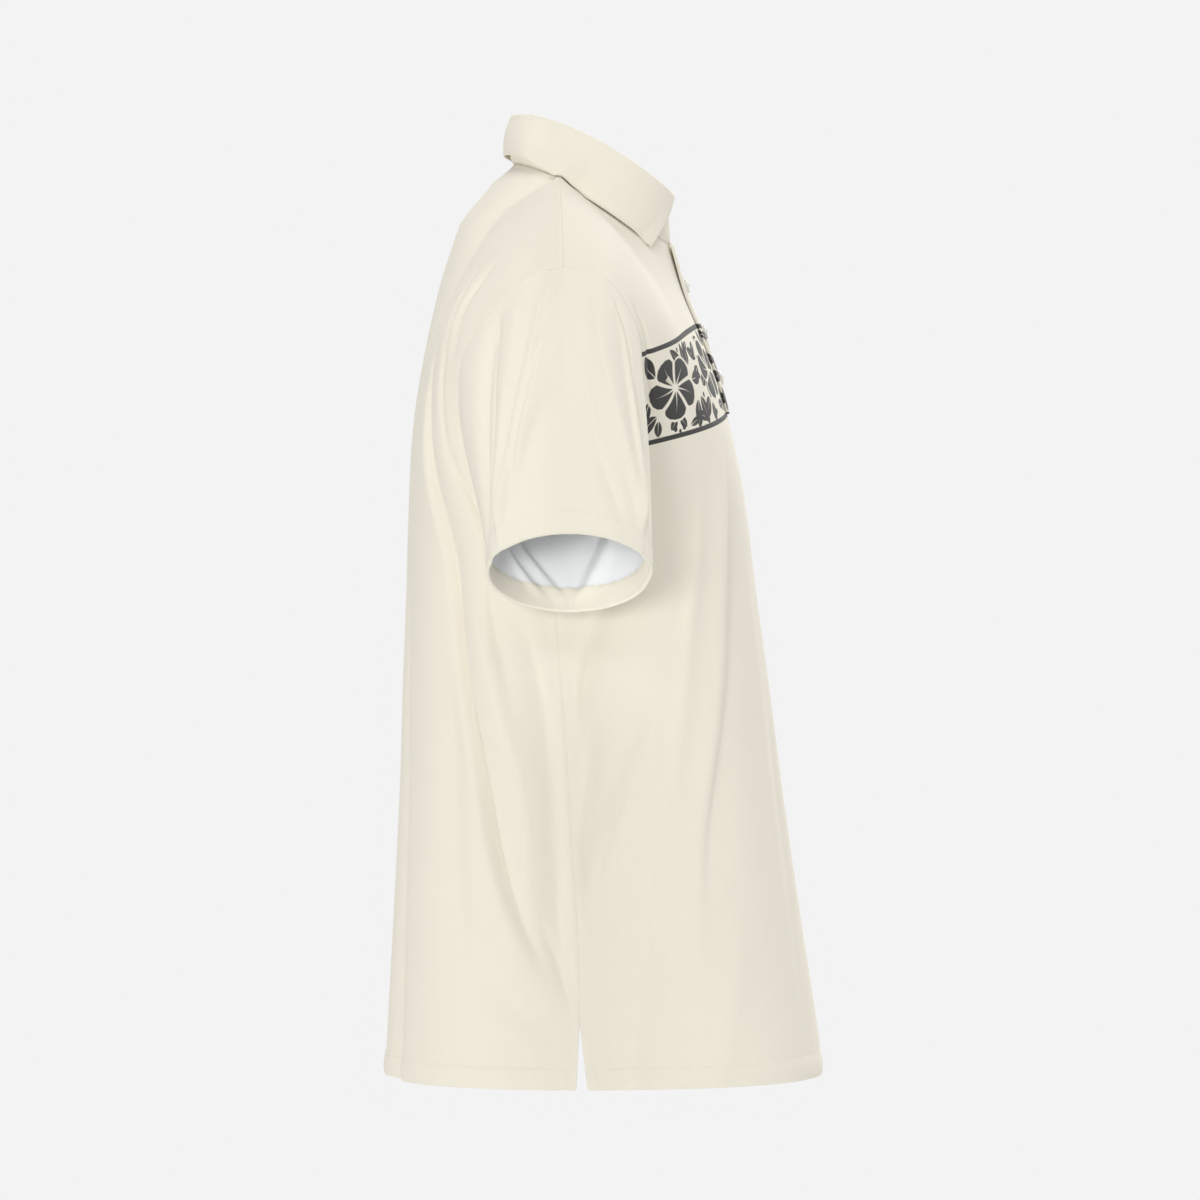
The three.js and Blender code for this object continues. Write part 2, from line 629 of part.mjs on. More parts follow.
function collarFall() {
  const turns = [Math.PI, Math.PI * 0.75, Math.PI / 2, Math.PI / 4, 0];
  const places = collarPlaces;
  const points = turns.map((turn) => places.map((place) => {
    const { middle, out } = rollFrame(place);
    return middle.clone().addScaledVector(out, ROLL_RADIUS * Math.cos(turn))
      .setZ(middle.z + ROLL_RADIUS * Math.sin(turn));
  }));
  for (const share of evenly(FALL_ROWS).slice(1)) {
    points.push(places.map((place) => {
      const { middle, out, edge } = rollFrame(place);
      const start = middle.clone().addScaledVector(out, ROLL_RADIUS);
      const belly = FALL_BELLY * Math.sin(Math.PI * share);
      return start.lerp(edge, share).addScaledVector(out, belly);
    }));
  }
  return cloth('collar_fall', points, { thickness: () => COLLAR_CLOTH });
}

function collarStand() {
  const rows = evenly(STAND_ROWS).reverse();
  const points = rows.map((up) => collarPlaces.map((place) => {
    const side = Math.sign(place) || 1;
    const seam = mirrored(neckSeam(Math.abs(place) * COLLAR_END_ANGLE), side);
    seam.z += STAND_LIFT;
    const { middle, out } = rollFrame(place);
    const top = middle.clone().addScaledVector(out, -ROLL_RADIUS);
    return seam.lerp(top, up);
  }));
  return cloth('collar_stand', points, { thickness: () => COLLAR_CLOTH });
}

// Middle surface of the front's cloth near the placket
function placketPoint(x, z) {
  const seam = neckSeam(neckAngleAt(PLACKET_HALF_WIDTH));
  const t = clamp((seam.z - z) / (seam.z - UNDERARM_Z));
  const high = seam.y - profiles.front(seam.z);
  const low = section('front', UNDERARM_Z, 1, PLACKET_HALF_WIDTH).y - profiles.front(UNDERARM_Z);
  return vec(x, profiles.front(z) + mix(high, low, t) * (x / PLACKET_HALF_WIDTH) ** 2, z);
}

function placketStrip(name, halfWidth, endZ, height) {
  const across = evenly(PLACKET_COLUMNS).map((share) => mix(-halfWidth, halfWidth, share));
  const points = evenly(PLACKET_ROWS).map((share) => across.map((x) => {
    const top = neckSeam(neckAngleAt(Math.abs(x) + 0.01)).z;
    return placketPoint(x, mix(top, endZ, share));
  }));
  const flat = cloth(name, points, { thickness: () => PLACKET_CLOTH });
  return raised(flat, (r, c) => height(across[c], points[r][c].z));
}

function upperHeight(x, z) {
  const free = ((PLACKET_HALF_WIDTH - x) / (2 * PLACKET_HALF_WIDTH)) ** 2;
  const high = ease((z - PLACKET_LIFT_END_Z) / (PLACKET_TOP_Z - PLACKET_LIFT_END_Z));
  return PLACKET_LAP + PLACKET_LIFT * free * high;
}

function button(name, z, placket) {
  const r = BUTTON_RADIUS;
  const h = BUTTON_THICKNESS;
  const outline = [[0, 0], [r * 0.8, 0], [r, h * 0.35], [r * 0.97, h * 0.8], [r * 0.85, h],
    [r * 0.68, h * 0.72], [0, h * 0.66]];
  const profile = outline.map(([across, up]) => new THREE.Vector2(across, up));
  const geometry = new THREE.LatheGeometry(profile, BUTTON_SIDES);
  const mesh = new THREE.Mesh(geometry, looks.button);
  const rows = placket.points.map((row) => row[PLACKET_COLUMNS / 2]);
  const below = rows.findIndex((point) => point.z <= z);
  const share = (rows[below - 1].z - z) / (rows[below - 1].z - rows[below].z);
  const seat = rows[below - 1].clone().lerp(rows[below], share);
  const down = rows[below].clone().sub(rows[below - 1]).normalize();
  const out = vec(0, down.z, -down.y);
  mesh.position.copy(seat).addScaledVector(out, PLACKET_CLOTH / 2 + BUTTON_SEAT);
  mesh.quaternion.setFromUnitVectors(vec(0, 1, 0), out);
  mesh.name = name;
  return mesh;
}

const looks = {
  cloth: new THREE.MeshStandardMaterial({ color: 0xf0ead9, roughness: 0.85, metalness: 0 }),
  button: new THREE.MeshStandardMaterial({ color: 0xeeeae0, roughness: 0.35, metalness: 0 }),
};

const sewn = [bodyPanel('front'), bodyPanel('back'), sleeve('sleeve_right', -1),
  sleeve('sleeve_left', 1)];
const underPlacket = placketStrip('placket_under', PLACKET_HALF_WIDTH - SEAM_GAP / 2,
  PLACKET_END_Z + 0.8, () => 0);
const upperPlacket = placketStrip('placket_upper', PLACKET_HALF_WIDTH + 1.5, PLACKET_END_Z - 4,
  upperHeight);

const shirt = new THREE.Group();
for (const joined of [sewn, [collarFall(), collarStand()], [underPlacket], [upperPlacket]]) {
  const normals = sharedNormals(joined);
  for (const piece of joined) {
    const mesh = new THREE.Mesh(wall(piece, normalsOf(piece, normals)), looks.cloth);
    mesh.name = piece.name;
    shirt.add(mesh);
  }
}
BUTTON_Z.forEach((z, i) => shirt.add(button(`button_${i + 1}`, z, upperPlacket)));

export default shirt;
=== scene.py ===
# %% [markdown]
# # A cream polo shirt with a flower band
#
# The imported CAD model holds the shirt's true shape: front, back, two sleeves, a collar of fall and
# stand, two placket strips and three buttons. Here each piece of cloth is made again as a finer thin
# shell on the same form, with more creases, turned hems, seams, stitches and a printed knit.
#
# Sizes in the tables are in millimetres, as on a paper pattern, and become metres when a mesh is
# made. The front faces -Y, the wearer's left is +X, and the origin is in the middle of the neck.

import math

import bmesh
import bpy
import numpy as np
from mathutils import Matrix, Vector
from mathutils.kdtree import KDTree


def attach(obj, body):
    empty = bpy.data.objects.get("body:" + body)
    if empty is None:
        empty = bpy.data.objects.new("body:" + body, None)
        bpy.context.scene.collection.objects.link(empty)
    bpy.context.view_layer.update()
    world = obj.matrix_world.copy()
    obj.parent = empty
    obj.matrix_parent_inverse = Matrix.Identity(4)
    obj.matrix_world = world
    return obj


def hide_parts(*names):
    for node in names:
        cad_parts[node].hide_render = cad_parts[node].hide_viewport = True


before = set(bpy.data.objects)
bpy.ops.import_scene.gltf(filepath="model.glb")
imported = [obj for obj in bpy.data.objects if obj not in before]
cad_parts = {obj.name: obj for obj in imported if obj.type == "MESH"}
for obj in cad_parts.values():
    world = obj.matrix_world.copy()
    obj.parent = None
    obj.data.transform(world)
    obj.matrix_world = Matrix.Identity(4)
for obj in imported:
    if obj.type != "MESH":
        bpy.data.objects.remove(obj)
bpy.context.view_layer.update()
bpy.ops.object.select_all(action="DESELECT")
print("CAD nodes:", sorted(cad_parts))

# %% [markdown]
# ## Camera
#
# The picture is a level side view of the shirt's right side, with hardly any perspective. A long
# lens from 6 m away gives that. Its focal length follows from how wide the picture is at the
# shirt's middle: 1200 pixels of 0.83 mm.

# %% Camera
CAMERA_AWAY = 6.0
PICTURE_WIDE = 1200 * 0.00083


def placed(name, data):
    """A new object for a mesh, lamp or camera, in the scene."""
    made = bpy.data.objects.new(name, data)
    bpy.context.collection.objects.link(made)
    return made


camera_data = bpy.data.cameras.new("side_camera")
camera_data.sensor_width = 36
camera_data.lens = 36 * CAMERA_AWAY / PICTURE_WIDE
camera_data.clip_end = 60
camera = placed("side_camera", camera_data)
camera.location = (-CAMERA_AWAY, -0.0332, -0.344)
camera.rotation_euler = (math.pi / 2, 0, -math.pi / 2)
bpy.context.scene.camera = camera
print("lens, mm:", round(camera_data.lens, 1))

# %% [markdown]
# ## Light
#
# The shirt is lit softly from all round: by a lamp near the camera, by one above, and by weaker ones
# off its chest, its back and its far side. So the folds show as faint shades. Two tiny lamps in the
# mouth of the right sleeve brighten the inside of the cuff. The sky's colour is also the plain grey
# that the camera sees behind the shirt. Colours are shown as they are, with no film curve over them.
# Nodes are added through one short helper, here and in the materials.

# %% Sky and lamps
BACKGROUND_GREY = 0.896
SKY_LIGHT = 0.34
SHIRT_MIDDLE = (0, 0, -0.35)
WARM = (1, 0.99, 0.97)


def adder(tree):
    """A short way to add nodes: the kind, what goes into its sockets, and its settings."""
    def add(kind, inputs=None, **settings):
        node = tree.nodes.new("ShaderNode" + kind)
        for key, value in settings.items():
            setattr(node, key, value)
        for slot, value in (inputs or {}).items():
            value = getattr(value, "socket", value)
            if isinstance(value, bpy.types.NodeSocket):
                tree.links.new(value, node.inputs[slot])
            else:
                node.inputs[slot].default_value = value
        return node

    return add


def lamp(name, place, size, watts, colour=WARM, towards=SHIRT_MIDDLE, spread=180):
    data = bpy.data.lights.new(name, "AREA")
    data.shape = "DISK"
    data.size = size
    data.energy = watts
    data.color = colour
    data.spread = math.radians(spread)
    light = placed(name, data)
    light.location = place
    light.visible_camera = False
    light.rotation_euler = (Vector(towards) - Vector(place)).to_track_quat("-Z", "Y").to_euler()
    print(name, watts, "W from", place)


bpy.context.scene.view_settings.view_transform = "Standard"
world = bpy.data.worlds.new("studio_sky")
bpy.context.scene.world = world
world.use_nodes = True
world.node_tree.nodes.clear()
add = adder(world.node_tree)
seen = add("Background", {"Color": (BACKGROUND_GREY, BACKGROUND_GREY, BACKGROUND_GREY, 1)})
lights = add("Background", {"Color": (0.97, 0.985, 1, 1), "Strength": SKY_LIGHT})
either = add("MixShader", {"Fac": add("LightPath").outputs["Is Camera Ray"],
                           1: lights.outputs[0], 2: seen.outputs[0]})
add("OutputWorld", {"Surface": either.outputs[0]})

lamp("near_lamp", (-4.5, 0.85, -0.2), 1.0, 79, (1, 0.995, 0.985))
lamp("far_lamp", (3.2, -1.0, 1.6), 2.6, 110)
lamp("top_lamp", (-0.6, 0, 3), 2.0, 48)
lamp("back_lamp", (-0.4, 4, -0.2), 1.6, 36)
lamp("chest_lamp", (-0.8, -4, 0.1), 1.6, 42)
for number, y in enumerate((-0.05, -0.01), 1):
    lamp(f"cuff_lamp_{number}", (-0.35, y, -0.305), 0.02, 0.003, (1, 1, 1), (-0.2, y, -0.37), 85)

# %% [markdown]
# ## Curves through short tables
#
# A garment's outline is a smooth curve through a few measured points. The same rule is used for
# every table: a cubic between two rows, with its slope at a row taken from the rows on either side.

# %% Curves
def hermite(a, leave_a, b, reach_b, t):
    t2 = t * t
    t3 = t2 * t
    return (a * (2 * t3 - 3 * t2 + 1) + leave_a * (t3 - 2 * t2 + t)
            + b * (3 * t2 - 2 * t3) + reach_b * (t3 - t2))


def curve_through(at, values):
    """A smooth curve through a table's points, read at any place along it."""
    at, values = np.array(at, float), np.array(values, float)
    if at[-1] < at[0]:
        at, values = at[::-1], values[::-1]
    rows = np.arange(len(at))
    before, after = np.maximum(rows - 1, 0), np.minimum(rows + 1, len(at) - 1)
    slope = (values[after] - values[before]) / (at[after] - at[before])

    def curve(place):
        place = np.clip(np.asarray(place, float), at[0], at[-1])
        i = np.clip(np.searchsorted(at, place, side="right") - 1, 0, len(at) - 2)
        span = at[i + 1] - at[i]
        t = (place - at[i]) / span
        return hermite(values[i], slope[i] * span, values[i + 1], slope[i + 1] * span, t)

    return curve


def curves_through(rows):
    """A curve for each further column of a table, along its first column."""
    at, *columns = zip(*rows)
    return [curve_through(at, column) for column in columns]


def mix(a, b, share):
    return a + (b - a) * share


def ease(value):
    value = np.clip(value, 0, 1)
    return value * value * (3 - 2 * value)


def points_of(x, y, z):
    return np.stack(np.broadcast_arrays(x, y, z), axis=-1).astype(float)


def length_of(vectors):
    return np.linalg.norm(vectors, axis=-1)


# %% [markdown]
# ## The pattern's sizes
#
# These are the sizes of the CAD pieces, so the dressed cloth lies exactly where the solids are.

# %% Sizes of the body
CLOTH = 1.4
COLLAR_CLOTH = 1.8
PLACKET_CLOTH = 1.8

NECK_HALF_WIDTH = 85
NECK_FRONT_DEPTH = 91
NECK_BACK_DEPTH = 37
NECK_SIDE_Z = 2
NECK_FRONT_SLOPE = 0.58
NECK_BACK_SLOPE = 0.38
NECK_FRONT_POWER = 1.8
SHOULDER_DROP = 82
SHOULDER_CURVE = 1.5
UNDERARM_Z = -283
VENT_TOP_Z = -683
HEM_Z = -736
HEM_DEPTH = 20
VENT_OPENING = 9
ROW_LEAVE = 1.15
ROW_LEVEL_LEAVE = 1.9
ROW_ARRIVE = 1.7
TOP_FADE = 2.6
LOW_FADE = 3
PLACKET_HALF_WIDTH = 16
PLACKET_TOP_Z = -48
PLACKET_END_Z = -186
PLACKET_LAP = 2.25
PLACKET_LIFT = 4.5
PLACKET_LIFT_END_Z = -112
BUTTON_RADIUS = 5.8
BUTTON_THICKNESS = 2.6
BUTTON_SEAT = 0.45
BUTTON_Z = (-84, -122, -160)

# Where the shoulder ends and the neck starts, as a share of the way across a half panel
NECK_STARTS = {"front": 8 / 14, "back": 8 / 13}

# Middle of the front and of the back: z, y
MIDDLE = {
    "front": ((-51, -91), (-90, -103), (-127, -118), (-165, -131), (-203, -141), (-260, -152.5),
              (-330, -161), (-410, -172), (-506, -184.5), (-600, -198), (-702, -213.5),
              (-736, -217)),
    "back": ((16, 37), (2, 53), (-29, 80), (-46, 87), (-78, 97.5), (-115, 106.5), (-156, 114.5),
             (-204, 121), (-266, 124.5), (-329, 126.5), (-409, 129.5), (-506, 132.5),
             (-702, 142.5), (-736, 145)),
}

# Side seam: z, x, y, and how square the front and back are there
SIDE_SEAM = (
    (-283, 218, 5, 2.35, 2.35), (-353, 219, 2.4, 2.3, 2.35), (-406, 219.5, -1.7, 2.3, 2.35),
    (-469, 220, -6.4, 2.25, 2.3), (-548, 221, -11, 2.25, 2.3), (-626, 222, -16, 2.2, 2.3),
    (-683, 222, -17, 2.2, 2.25), (-736, 222.5, -18.8, 2.2, 2.25),
)

# Armholes from shoulder to underarm: share t, place x, y, z, and the cloth's way towards the middle
ARMHOLE = {
    "front": (
        (0, 245, -4, -80, -0.79, 0, 0.61), (0.14, 239, -34, -86, -0.82, -0.25, 0.5),
        (0.27, 231, -52, -106, -0.85, -0.42, 0.3), (0.4, 221, -64, -134, -0.84, -0.55, 0.12),
        (0.56, 211, -65, -176, -0.76, -0.65, 0.03), (0.7, 206, -60, -212, -0.66, -0.75, 0),
        (0.81, 208.5, -48, -245, -0.54, -0.84, 0), (0.91, 214.5, -26, -271, -0.35, -0.94, 0),
        (1, 218, 5, -283, 0, -1, 0),
    ),
    "back": (
        (0, 245, -4, -80, -0.79, 0, 0.61), (0.12, 243, 22, -85, -0.83, 0.2, 0.5),
        (0.24, 236, 46, -106, -0.87, 0.36, 0.32), (0.36, 225, 65, -128, -0.87, 0.48, 0.15),
        (0.48, 213, 77, -153, -0.85, 0.52, 0.05), (0.6, 201, 79, -182, -0.8, 0.6, 0),
        (0.72, 198, 73, -214, -0.72, 0.7, 0), (0.82, 203, 61, -244, -0.6, 0.8, 0),
        (0.91, 212, 39, -270, -0.4, 0.92, 0), (1, 218, 5, -283, 0, 1, 0),
    ),
}

# %% [markdown]
# ## The body's form
#
# The neck and shoulder seams close the top. Below the underarm each level is a rounded section
# through the side seam and the middle. Between them, rows of cloth run from the armhole to the
# middle. The corner at the neck's side is smoothed out further down, as real cloth does.

# %% Form of the body
middle_y = {face: curves_through(rows)[0] for face, rows in MIDDLE.items()}
side_x, side_y, *square = curves_through(SIDE_SEAM)
squareness = dict(zip(("front", "back"), square))


def neck_seam(angle):
    """Point of the neck seam: 0 at the middle of the back, pi / 2 at the side, pi in front."""
    angle = np.asarray(angle, float)
    behind = angle <= math.pi / 2
    power = 2 / NECK_FRONT_POWER
    y = np.where(behind, NECK_BACK_DEPTH * np.cos(angle),
                 -NECK_FRONT_DEPTH * np.abs(np.cos(angle)) ** power)
    x = NECK_HALF_WIDTH * np.where(behind, np.sin(angle), np.abs(np.sin(angle)) ** power)
    return points_of(x, y, NECK_SIDE_Z + np.where(behind, NECK_BACK_SLOPE, NECK_FRONT_SLOPE) * y)


def neck_angle_at(x):
    return math.pi - np.arcsin((np.asarray(x, float) / NECK_HALF_WIDTH) ** (NECK_FRONT_POWER / 2))


def shoulder_seam(share):
    """Point of the shoulder seam: 0 at the armhole, 1 at the neck."""
    out = 1 - share
    end_x, end_y = ARMHOLE["front"][0][1:3]
    return points_of(mix(NECK_HALF_WIDTH, end_x, out), end_y * out,
                     NECK_SIDE_Z - SHOULDER_DROP * out ** SHOULDER_CURVE)


def section(face, z, across, middle_x):
    """Level section below the underarm: across 0 at the side seam, 1 at middle_x."""
    depth = middle_y[face](z) - side_y(z)
    power = squareness[face](z)
    angle = across * (math.pi / 2 - np.arctan2(middle_x, np.abs(depth)))
    radius = ((np.cos(angle) / side_x(z)) ** power
              + (np.sin(angle) / np.abs(depth)) ** power) ** (-1 / power)
    return points_of(radius * np.cos(angle),
                     side_y(z) + np.sign(depth) * radius * np.sin(angle), z)


def upper_panel(face, middle_x):
    """Form of one half of the front or back above the underarm, for across and t from 0 to 1."""
    columns = curves_through(ARMHOLE[face])
    neck_starts = NECK_STARTS[face]
    neck_end = float(neck_angle_at(middle_x)) if face == "front" else 0.0

    def top(across):
        on_neck = neck_seam(mix(math.pi / 2, neck_end,
                                np.maximum(across - neck_starts, 0) / (1 - neck_starts)))
        on_shoulder = shoulder_seam(np.minimum(across / neck_starts, 1))
        return np.where((across <= neck_starts)[..., None], on_shoulder, on_neck)

    end = top(np.array([1.0]))[0]

    def row(across, t):
        across, t = np.broadcast_arrays(across, t)
        edge = points_of(*[curve(t) for curve in columns[:3]])
        leave = points_of(*[curve(t) for curve in columns[3:]])
        z = mix(end[2], UNDERARM_Z, t)
        low = section(face, UNDERARM_Z, 1.0, middle_x)[1] - middle_y[face](UNDERARM_Z)
        high = end[1] - middle_y[face](end[2])
        middle = points_of(middle_x, middle_y[face](z) + mix(high, low, t), z)
        reach = mix(length_of(middle - edge) * ROW_LEAVE,
                    np.abs(middle[..., 1] - edge[..., 1]) * ROW_LEVEL_LEAVE, t)
        leave = leave * (reach / length_of(leave))[..., None]
        arrive = points_of((middle_x - edge[..., 0]) * ROW_ARRIVE, 0, 0)
        return hermite(edge, leave, middle, arrive, across[..., None])

    knots = np.linspace(0, 1, 241)
    waves = np.arange(1, 200)
    lift = top(knots) - row(knots, 0.0)
    amounts = np.sin(np.pi * np.outer(waves, knots)) @ lift * 2 / (len(knots) - 1)

    def panel(across, t):
        across, t = np.broadcast_arrays(across, t)
        fading = np.exp(-((waves * np.pi * 0.3 * t[..., None]) ** 2) / 2)
        raised = (np.sin(np.pi * across[..., None] * waves) * fading) @ amounts
        raised = np.where((t <= 0)[..., None], top(across) - row(across, t), raised)
        lowered = section(face, float(UNDERARM_Z), across, middle_x) - row(across, 1.0)
        return (row(across, t) + raised * ((1 - t) ** TOP_FADE)[..., None]
                + lowered * (t ** LOW_FADE)[..., None])

    return panel


print("half chest, mm:", side_x(UNDERARM_Z), "middle of the hem, y:", middle_y["front"](HEM_Z))

# %% [markdown]
# ## Folds
#
# A worn polo hangs in long folds. Each follows its own line on the cloth, given by a few places on
# the way down, swells and dies away along it, and may stay open to the hem. Its two flanks are
# seldom alike: a wide flank rises softly and a narrow one turns over suddenly, which is what makes
# the thin dark and light lines in the cloth. They are listed one by one, with similar ones on the
# side that the picture doesn't show.

# %% Folds of the body
# For each face and side, -1 on the right: 1 where the fold stays open at the hem, its depth, a
# valley when minus, its width towards the side seam and towards the middle, and then z and place in
# turn down its line. Places and widths are shares of the way from the side seam, 0, to the middle, 1.
BODY_FOLDS = {
    ("back", -1): (
        (0, -8, .075, .017, -110, .35, -200, .33, -296, .3, -392, .27, -476, .22, -551, .18, -614, .12,
         -660, .045, -700, 0),
        (0, -4.5, .045, .07, -250, .32, -426, .305, -556, .305, -700, .28),
        (0, -3.4, .035, .013, -205, .12, -279, .135, -346, .16, -400, .14, -460, .11),
        (0, -5.5, .022, .05, -335, .1, -388, .065, -447, .045, -535, .04, -610, .04, -665, .02),
        (0, 3.8, .03, .05, -320, .22, -417, .17, -497, .105, -590, .1, -650, .075),
        (0, -2, .014, .009, -600, .095, -644, .045, -690, .004),
        (1, -12, .08, .1, -290, .76, -442, .74, -589, .72, -736, .71),
        (0, -3.2, .01, .01, -270, .305, -392, .272, -476, .222, -551, .182, -614, .122, -660, .047),
        (0, -2, .05, .03, -640, .26, -677, .14, -700, .03),
        (0, -2.6, .03, .012, -66, .22, -88, .24, -110, .22, -135, .14, -160, .06),
        (0, -2.8, .03, .014, -72, .33, -100, .33, -125, .27, -150, .2, -215, .15, -260, .15),
        (0, 1.4, .03, .03, -70, .28, -95, .285, -120, .24, -145, .17),
        (0, 1.6, .05, .05, 6, .98, -4, .9, -9, .8, -11, .7, -12, .62),
        (0, -3, .06, .08, -14, .66, -34, .62, -70, .58, -150, .55),
    ),
    ("back", 1): (
        (0, -7, .07, .02, -140, .36, -240, .34, -350, .29, -470, .21, -570, .13, -640, .05),
        (0, -4.5, .05, .07, -300, .37, -450, .35, -600, .33, -700, .31),
        (0, -3.4, .03, .014, -240, .13, -320, .15, -410, .13),
        (0, -4, .02, .045, -340, .09, -400, .045, -500, .03, -620, .04),
        (0, 3.4, .03, .045, -330, .23, -430, .16, -540, .1, -620, .09),
        (0, -3, .03, .013, -80, .25, -110, .23, -140, .15, -165, .07),
        (1, 6, .07, .08, -340, .5, -480, .45, -736, .42),
        (1, -6, .08, .08, -380, .74, -560, .7, -736, .66),
        (0, 3, .05, .05, 6, .98, -4, .9, -9, .8, -12, .62),
        (0, -2.4, .06, .07, -16, .66, -50, .6, -140, .55),
    ),
    ("front", -1): (
        (0, -5.5, .02, .03, -322, .165, -350, .12, -388, .07, -440, .04, -480, .03),
        (0, 4.2, .065, .034, -190, .6, -247, .56, -346, .5, -439, .42, -522, .34, -610, .29),
        (0, -3, .02, .09, -230, .61, -346, .54, -439, .46, -522, .38, -620, .32),
        (0, 3.6, .02, .04, -240, .4, -296, .4, -392, .33, -480, .27, -580, .205),
        (0, 4.8, .02, .07, -410, .26, -497, .145, -568, .06, -608, .012),
        (0, -4, .02, .026, -420, .09, -522, .035, -551, .022, -590, .022),
        (1, -3.2, .05, .06, -560, .2, -631, .17, -736, .13),
        (1, 2, .06, .045, -600, .445, -665, .41, -707, .365, -736, .34),
        (0, 2, .03, .03, -540, .33, -602, .31, -660, .29),
        (0, -2.4, .02, .014, -96, .03, -120, .06, -165, .07, -200, .05),
        (0, 1.8, .05, .05, -280, .74, -420, .7, -580, .67),
        (1, -2.2, .06, .06, -400, .84, -560, .8, -736, .76),
    ),
    ("front", 1): (
        (0, -4, .016, .024, -318, .145, -360, .09, -430, .02),
        (0, 4.4, .06, .034, -200, .58, -300, .52, -420, .43, -580, .32),
        (0, -2.6, .02, .09, -240, .6, -340, .54, -440, .47, -600, .36),
        (0, 3.4, .025, .04, -270, .4, -390, .34, -560, .22),
        (0, 4, .022, .07, -440, .23, -540, .1, -606, .02),
        (0, -3.6, .02, .026, -430, .085, -520, .035, -590, .025),
        (1, -3, .05, .05, -570, .24, -650, .2, -736, .17),
        (0, -2.2, .02, .014, -98, .03, -130, .06, -190, .06),
        (1, -2.2, .05, .06, -440, .72, -580, .74, -736, .72),
    ),
}

# %% Folds of the sleeves
# For each side: depth, width to the back and to the front, and then two numbers in turn: how far
# along, from 0 at the armhole to 1 at the cuff, and the place, 0 on top over 0.25 in front to 0.5
# below.
SLEEVE_FOLDS = {
    -1: (
        (5.5, .055, .014, -.02, .975, .19, .968, .452, .949, .655, .907, .833, .866, 1.02, .82),
        (-3, .025, .02, -.02, .945, .214, .935, .393, .921, .6, .885),
        (-6, .022, .018, -.02, .88, .179, .856, .357, .838, .548, .819, .9, .785),
        (2.6, .02, .014, -.02, .925, .214, .912, .381, .894, .75, .843),
        (4, .012, .04, .02, .05, .298, .06, .452, .079, .679, .125, .893, .176, 1.02, .2),
        (2.6, .012, .02, -.02, .105, .167, .13, .488, .144, .7, .16),
        (-3.4, .025, .016, .3, .02, .452, .035, .69, .065, .95, .12),
        (-4.5, .02, .03, -.02, .19, .1, .21, .35, .24, .8, .29),
        (-4, .026, .03, .15, .36, .5, .42, .9, .49),
        (-4, .03, .026, .15, .62, .5, .57, .9, .505),
        (4, .016, .016, .2, .44, .55, .465, .93, .495),
        (4, .016, .016, .2, .55, .55, .535, .93, .5),
        (-3.5, .02, .02, .1, .7, .5, .66, .9, .56),
        (-2.4, .008, .007, -.02, .986, .155, .976, .238, .971, .369, .948, .5, .925, .75, .883, .9, .858),
        (1.8, .008, .01, -.02, .974, .155, .963, .238, .957, .369, .934, .5, .911, .75, .869, .9, .846),
        (-2.6, .007, .008, -.02, .882, .179, .872, .333, .864, .524, .853, .75, .832),
        (-2, .006, .008, -.02, .074, .107, .108, .179, .126, .345, .14, .488, .153, .75, .178),
        (1.6, .007, .006, -.02, .062, .107, .096, .179, .114, .345, .128, .488, .141, .75, .166),
    ),
    1: (
        (-2.2, .008, .007, -.02, .982, .24, .966, .5, .93, .85, .872),
        (-2.4, .007, .008, -.02, .884, .34, .858, .8, .806),
        (-1.8, .006, .008, -.02, .08, .2, .128, .5, .152, .8, .18),
        (5, .055, .016, -.02, .97, .3, .95, .65, .9, 1.02, .84),
        (-5, .022, .018, -.02, .88, .35, .84, .85, .79),
        (3.6, .012, .04, .02, .06, .4, .08, .75, .14, 1.02, .19),
        (-3, .025, .016, .25, .02, .6, .05, .9, .1),
        (-4, .02, .03, -.02, .19, .3, .22, .8, .28),
        (-5, .02, .026, .15, .37, .5, .43, .9, .49),
        (-5, .026, .02, .15, .61, .5, .56, .9, .505),
        (3, .03, .03, .1, .45, .5, .48, .9, .5),
    ),
}


def fold_height(place, along, is_open, depth, back_width, front_width, *line, round_it=False):
    """Height of a fold with two unlike flanks along a line on the cloth."""
    share = (along - line[0]) / (line[-2] - line[0])
    inside = (share > 0) & ((share < 1) | bool(is_open))
    off = place - curve_through(line[::2], line[1::2])(along)
    if round_it:
        off = (off + 0.5) % 1 - 0.5
    width = np.where(off < 0, back_width, front_width)
    share = np.clip(share, 0, 1)
    swell = ease(share / 0.25) * (1 if is_open else 1 - ease((share - 0.7) / 0.3))
    return np.where(inside, depth * swell * np.exp(-(np.abs(off / width) ** 1.7)), 0)


print("folds:", sum(map(len, BODY_FOLDS.values())), "on the body and",
      sum(map(len, SLEEVE_FOLDS.values())), "on the sleeves")

# %% [markdown]
# ## Cloth as a thin shell
#
# A piece of cloth starts as a grid of points on its middle surface. Its normals come from the grid
# itself. The shell has an outer skin, an inner skin and narrow walls at its edges, so it is closed,
# and each skin's distance from the middle can change from place to place: that turns the edges
# round, and gives hems their thickness, seams their groove and stitched lines their dimple. A tube
# such as a sleeve is a grid whose last column meets its first.

# %% Grids and normals
def grid_normals(grid, ring=False):
    across = np.roll(grid, -1, axis=1) - np.roll(grid, 1, axis=1) if ring else np.gradient(grid, axis=1)
    normals = np.cross(np.gradient(grid, axis=0), across)
    return normals / np.maximum(length_of(normals), 1e-9)[..., None]


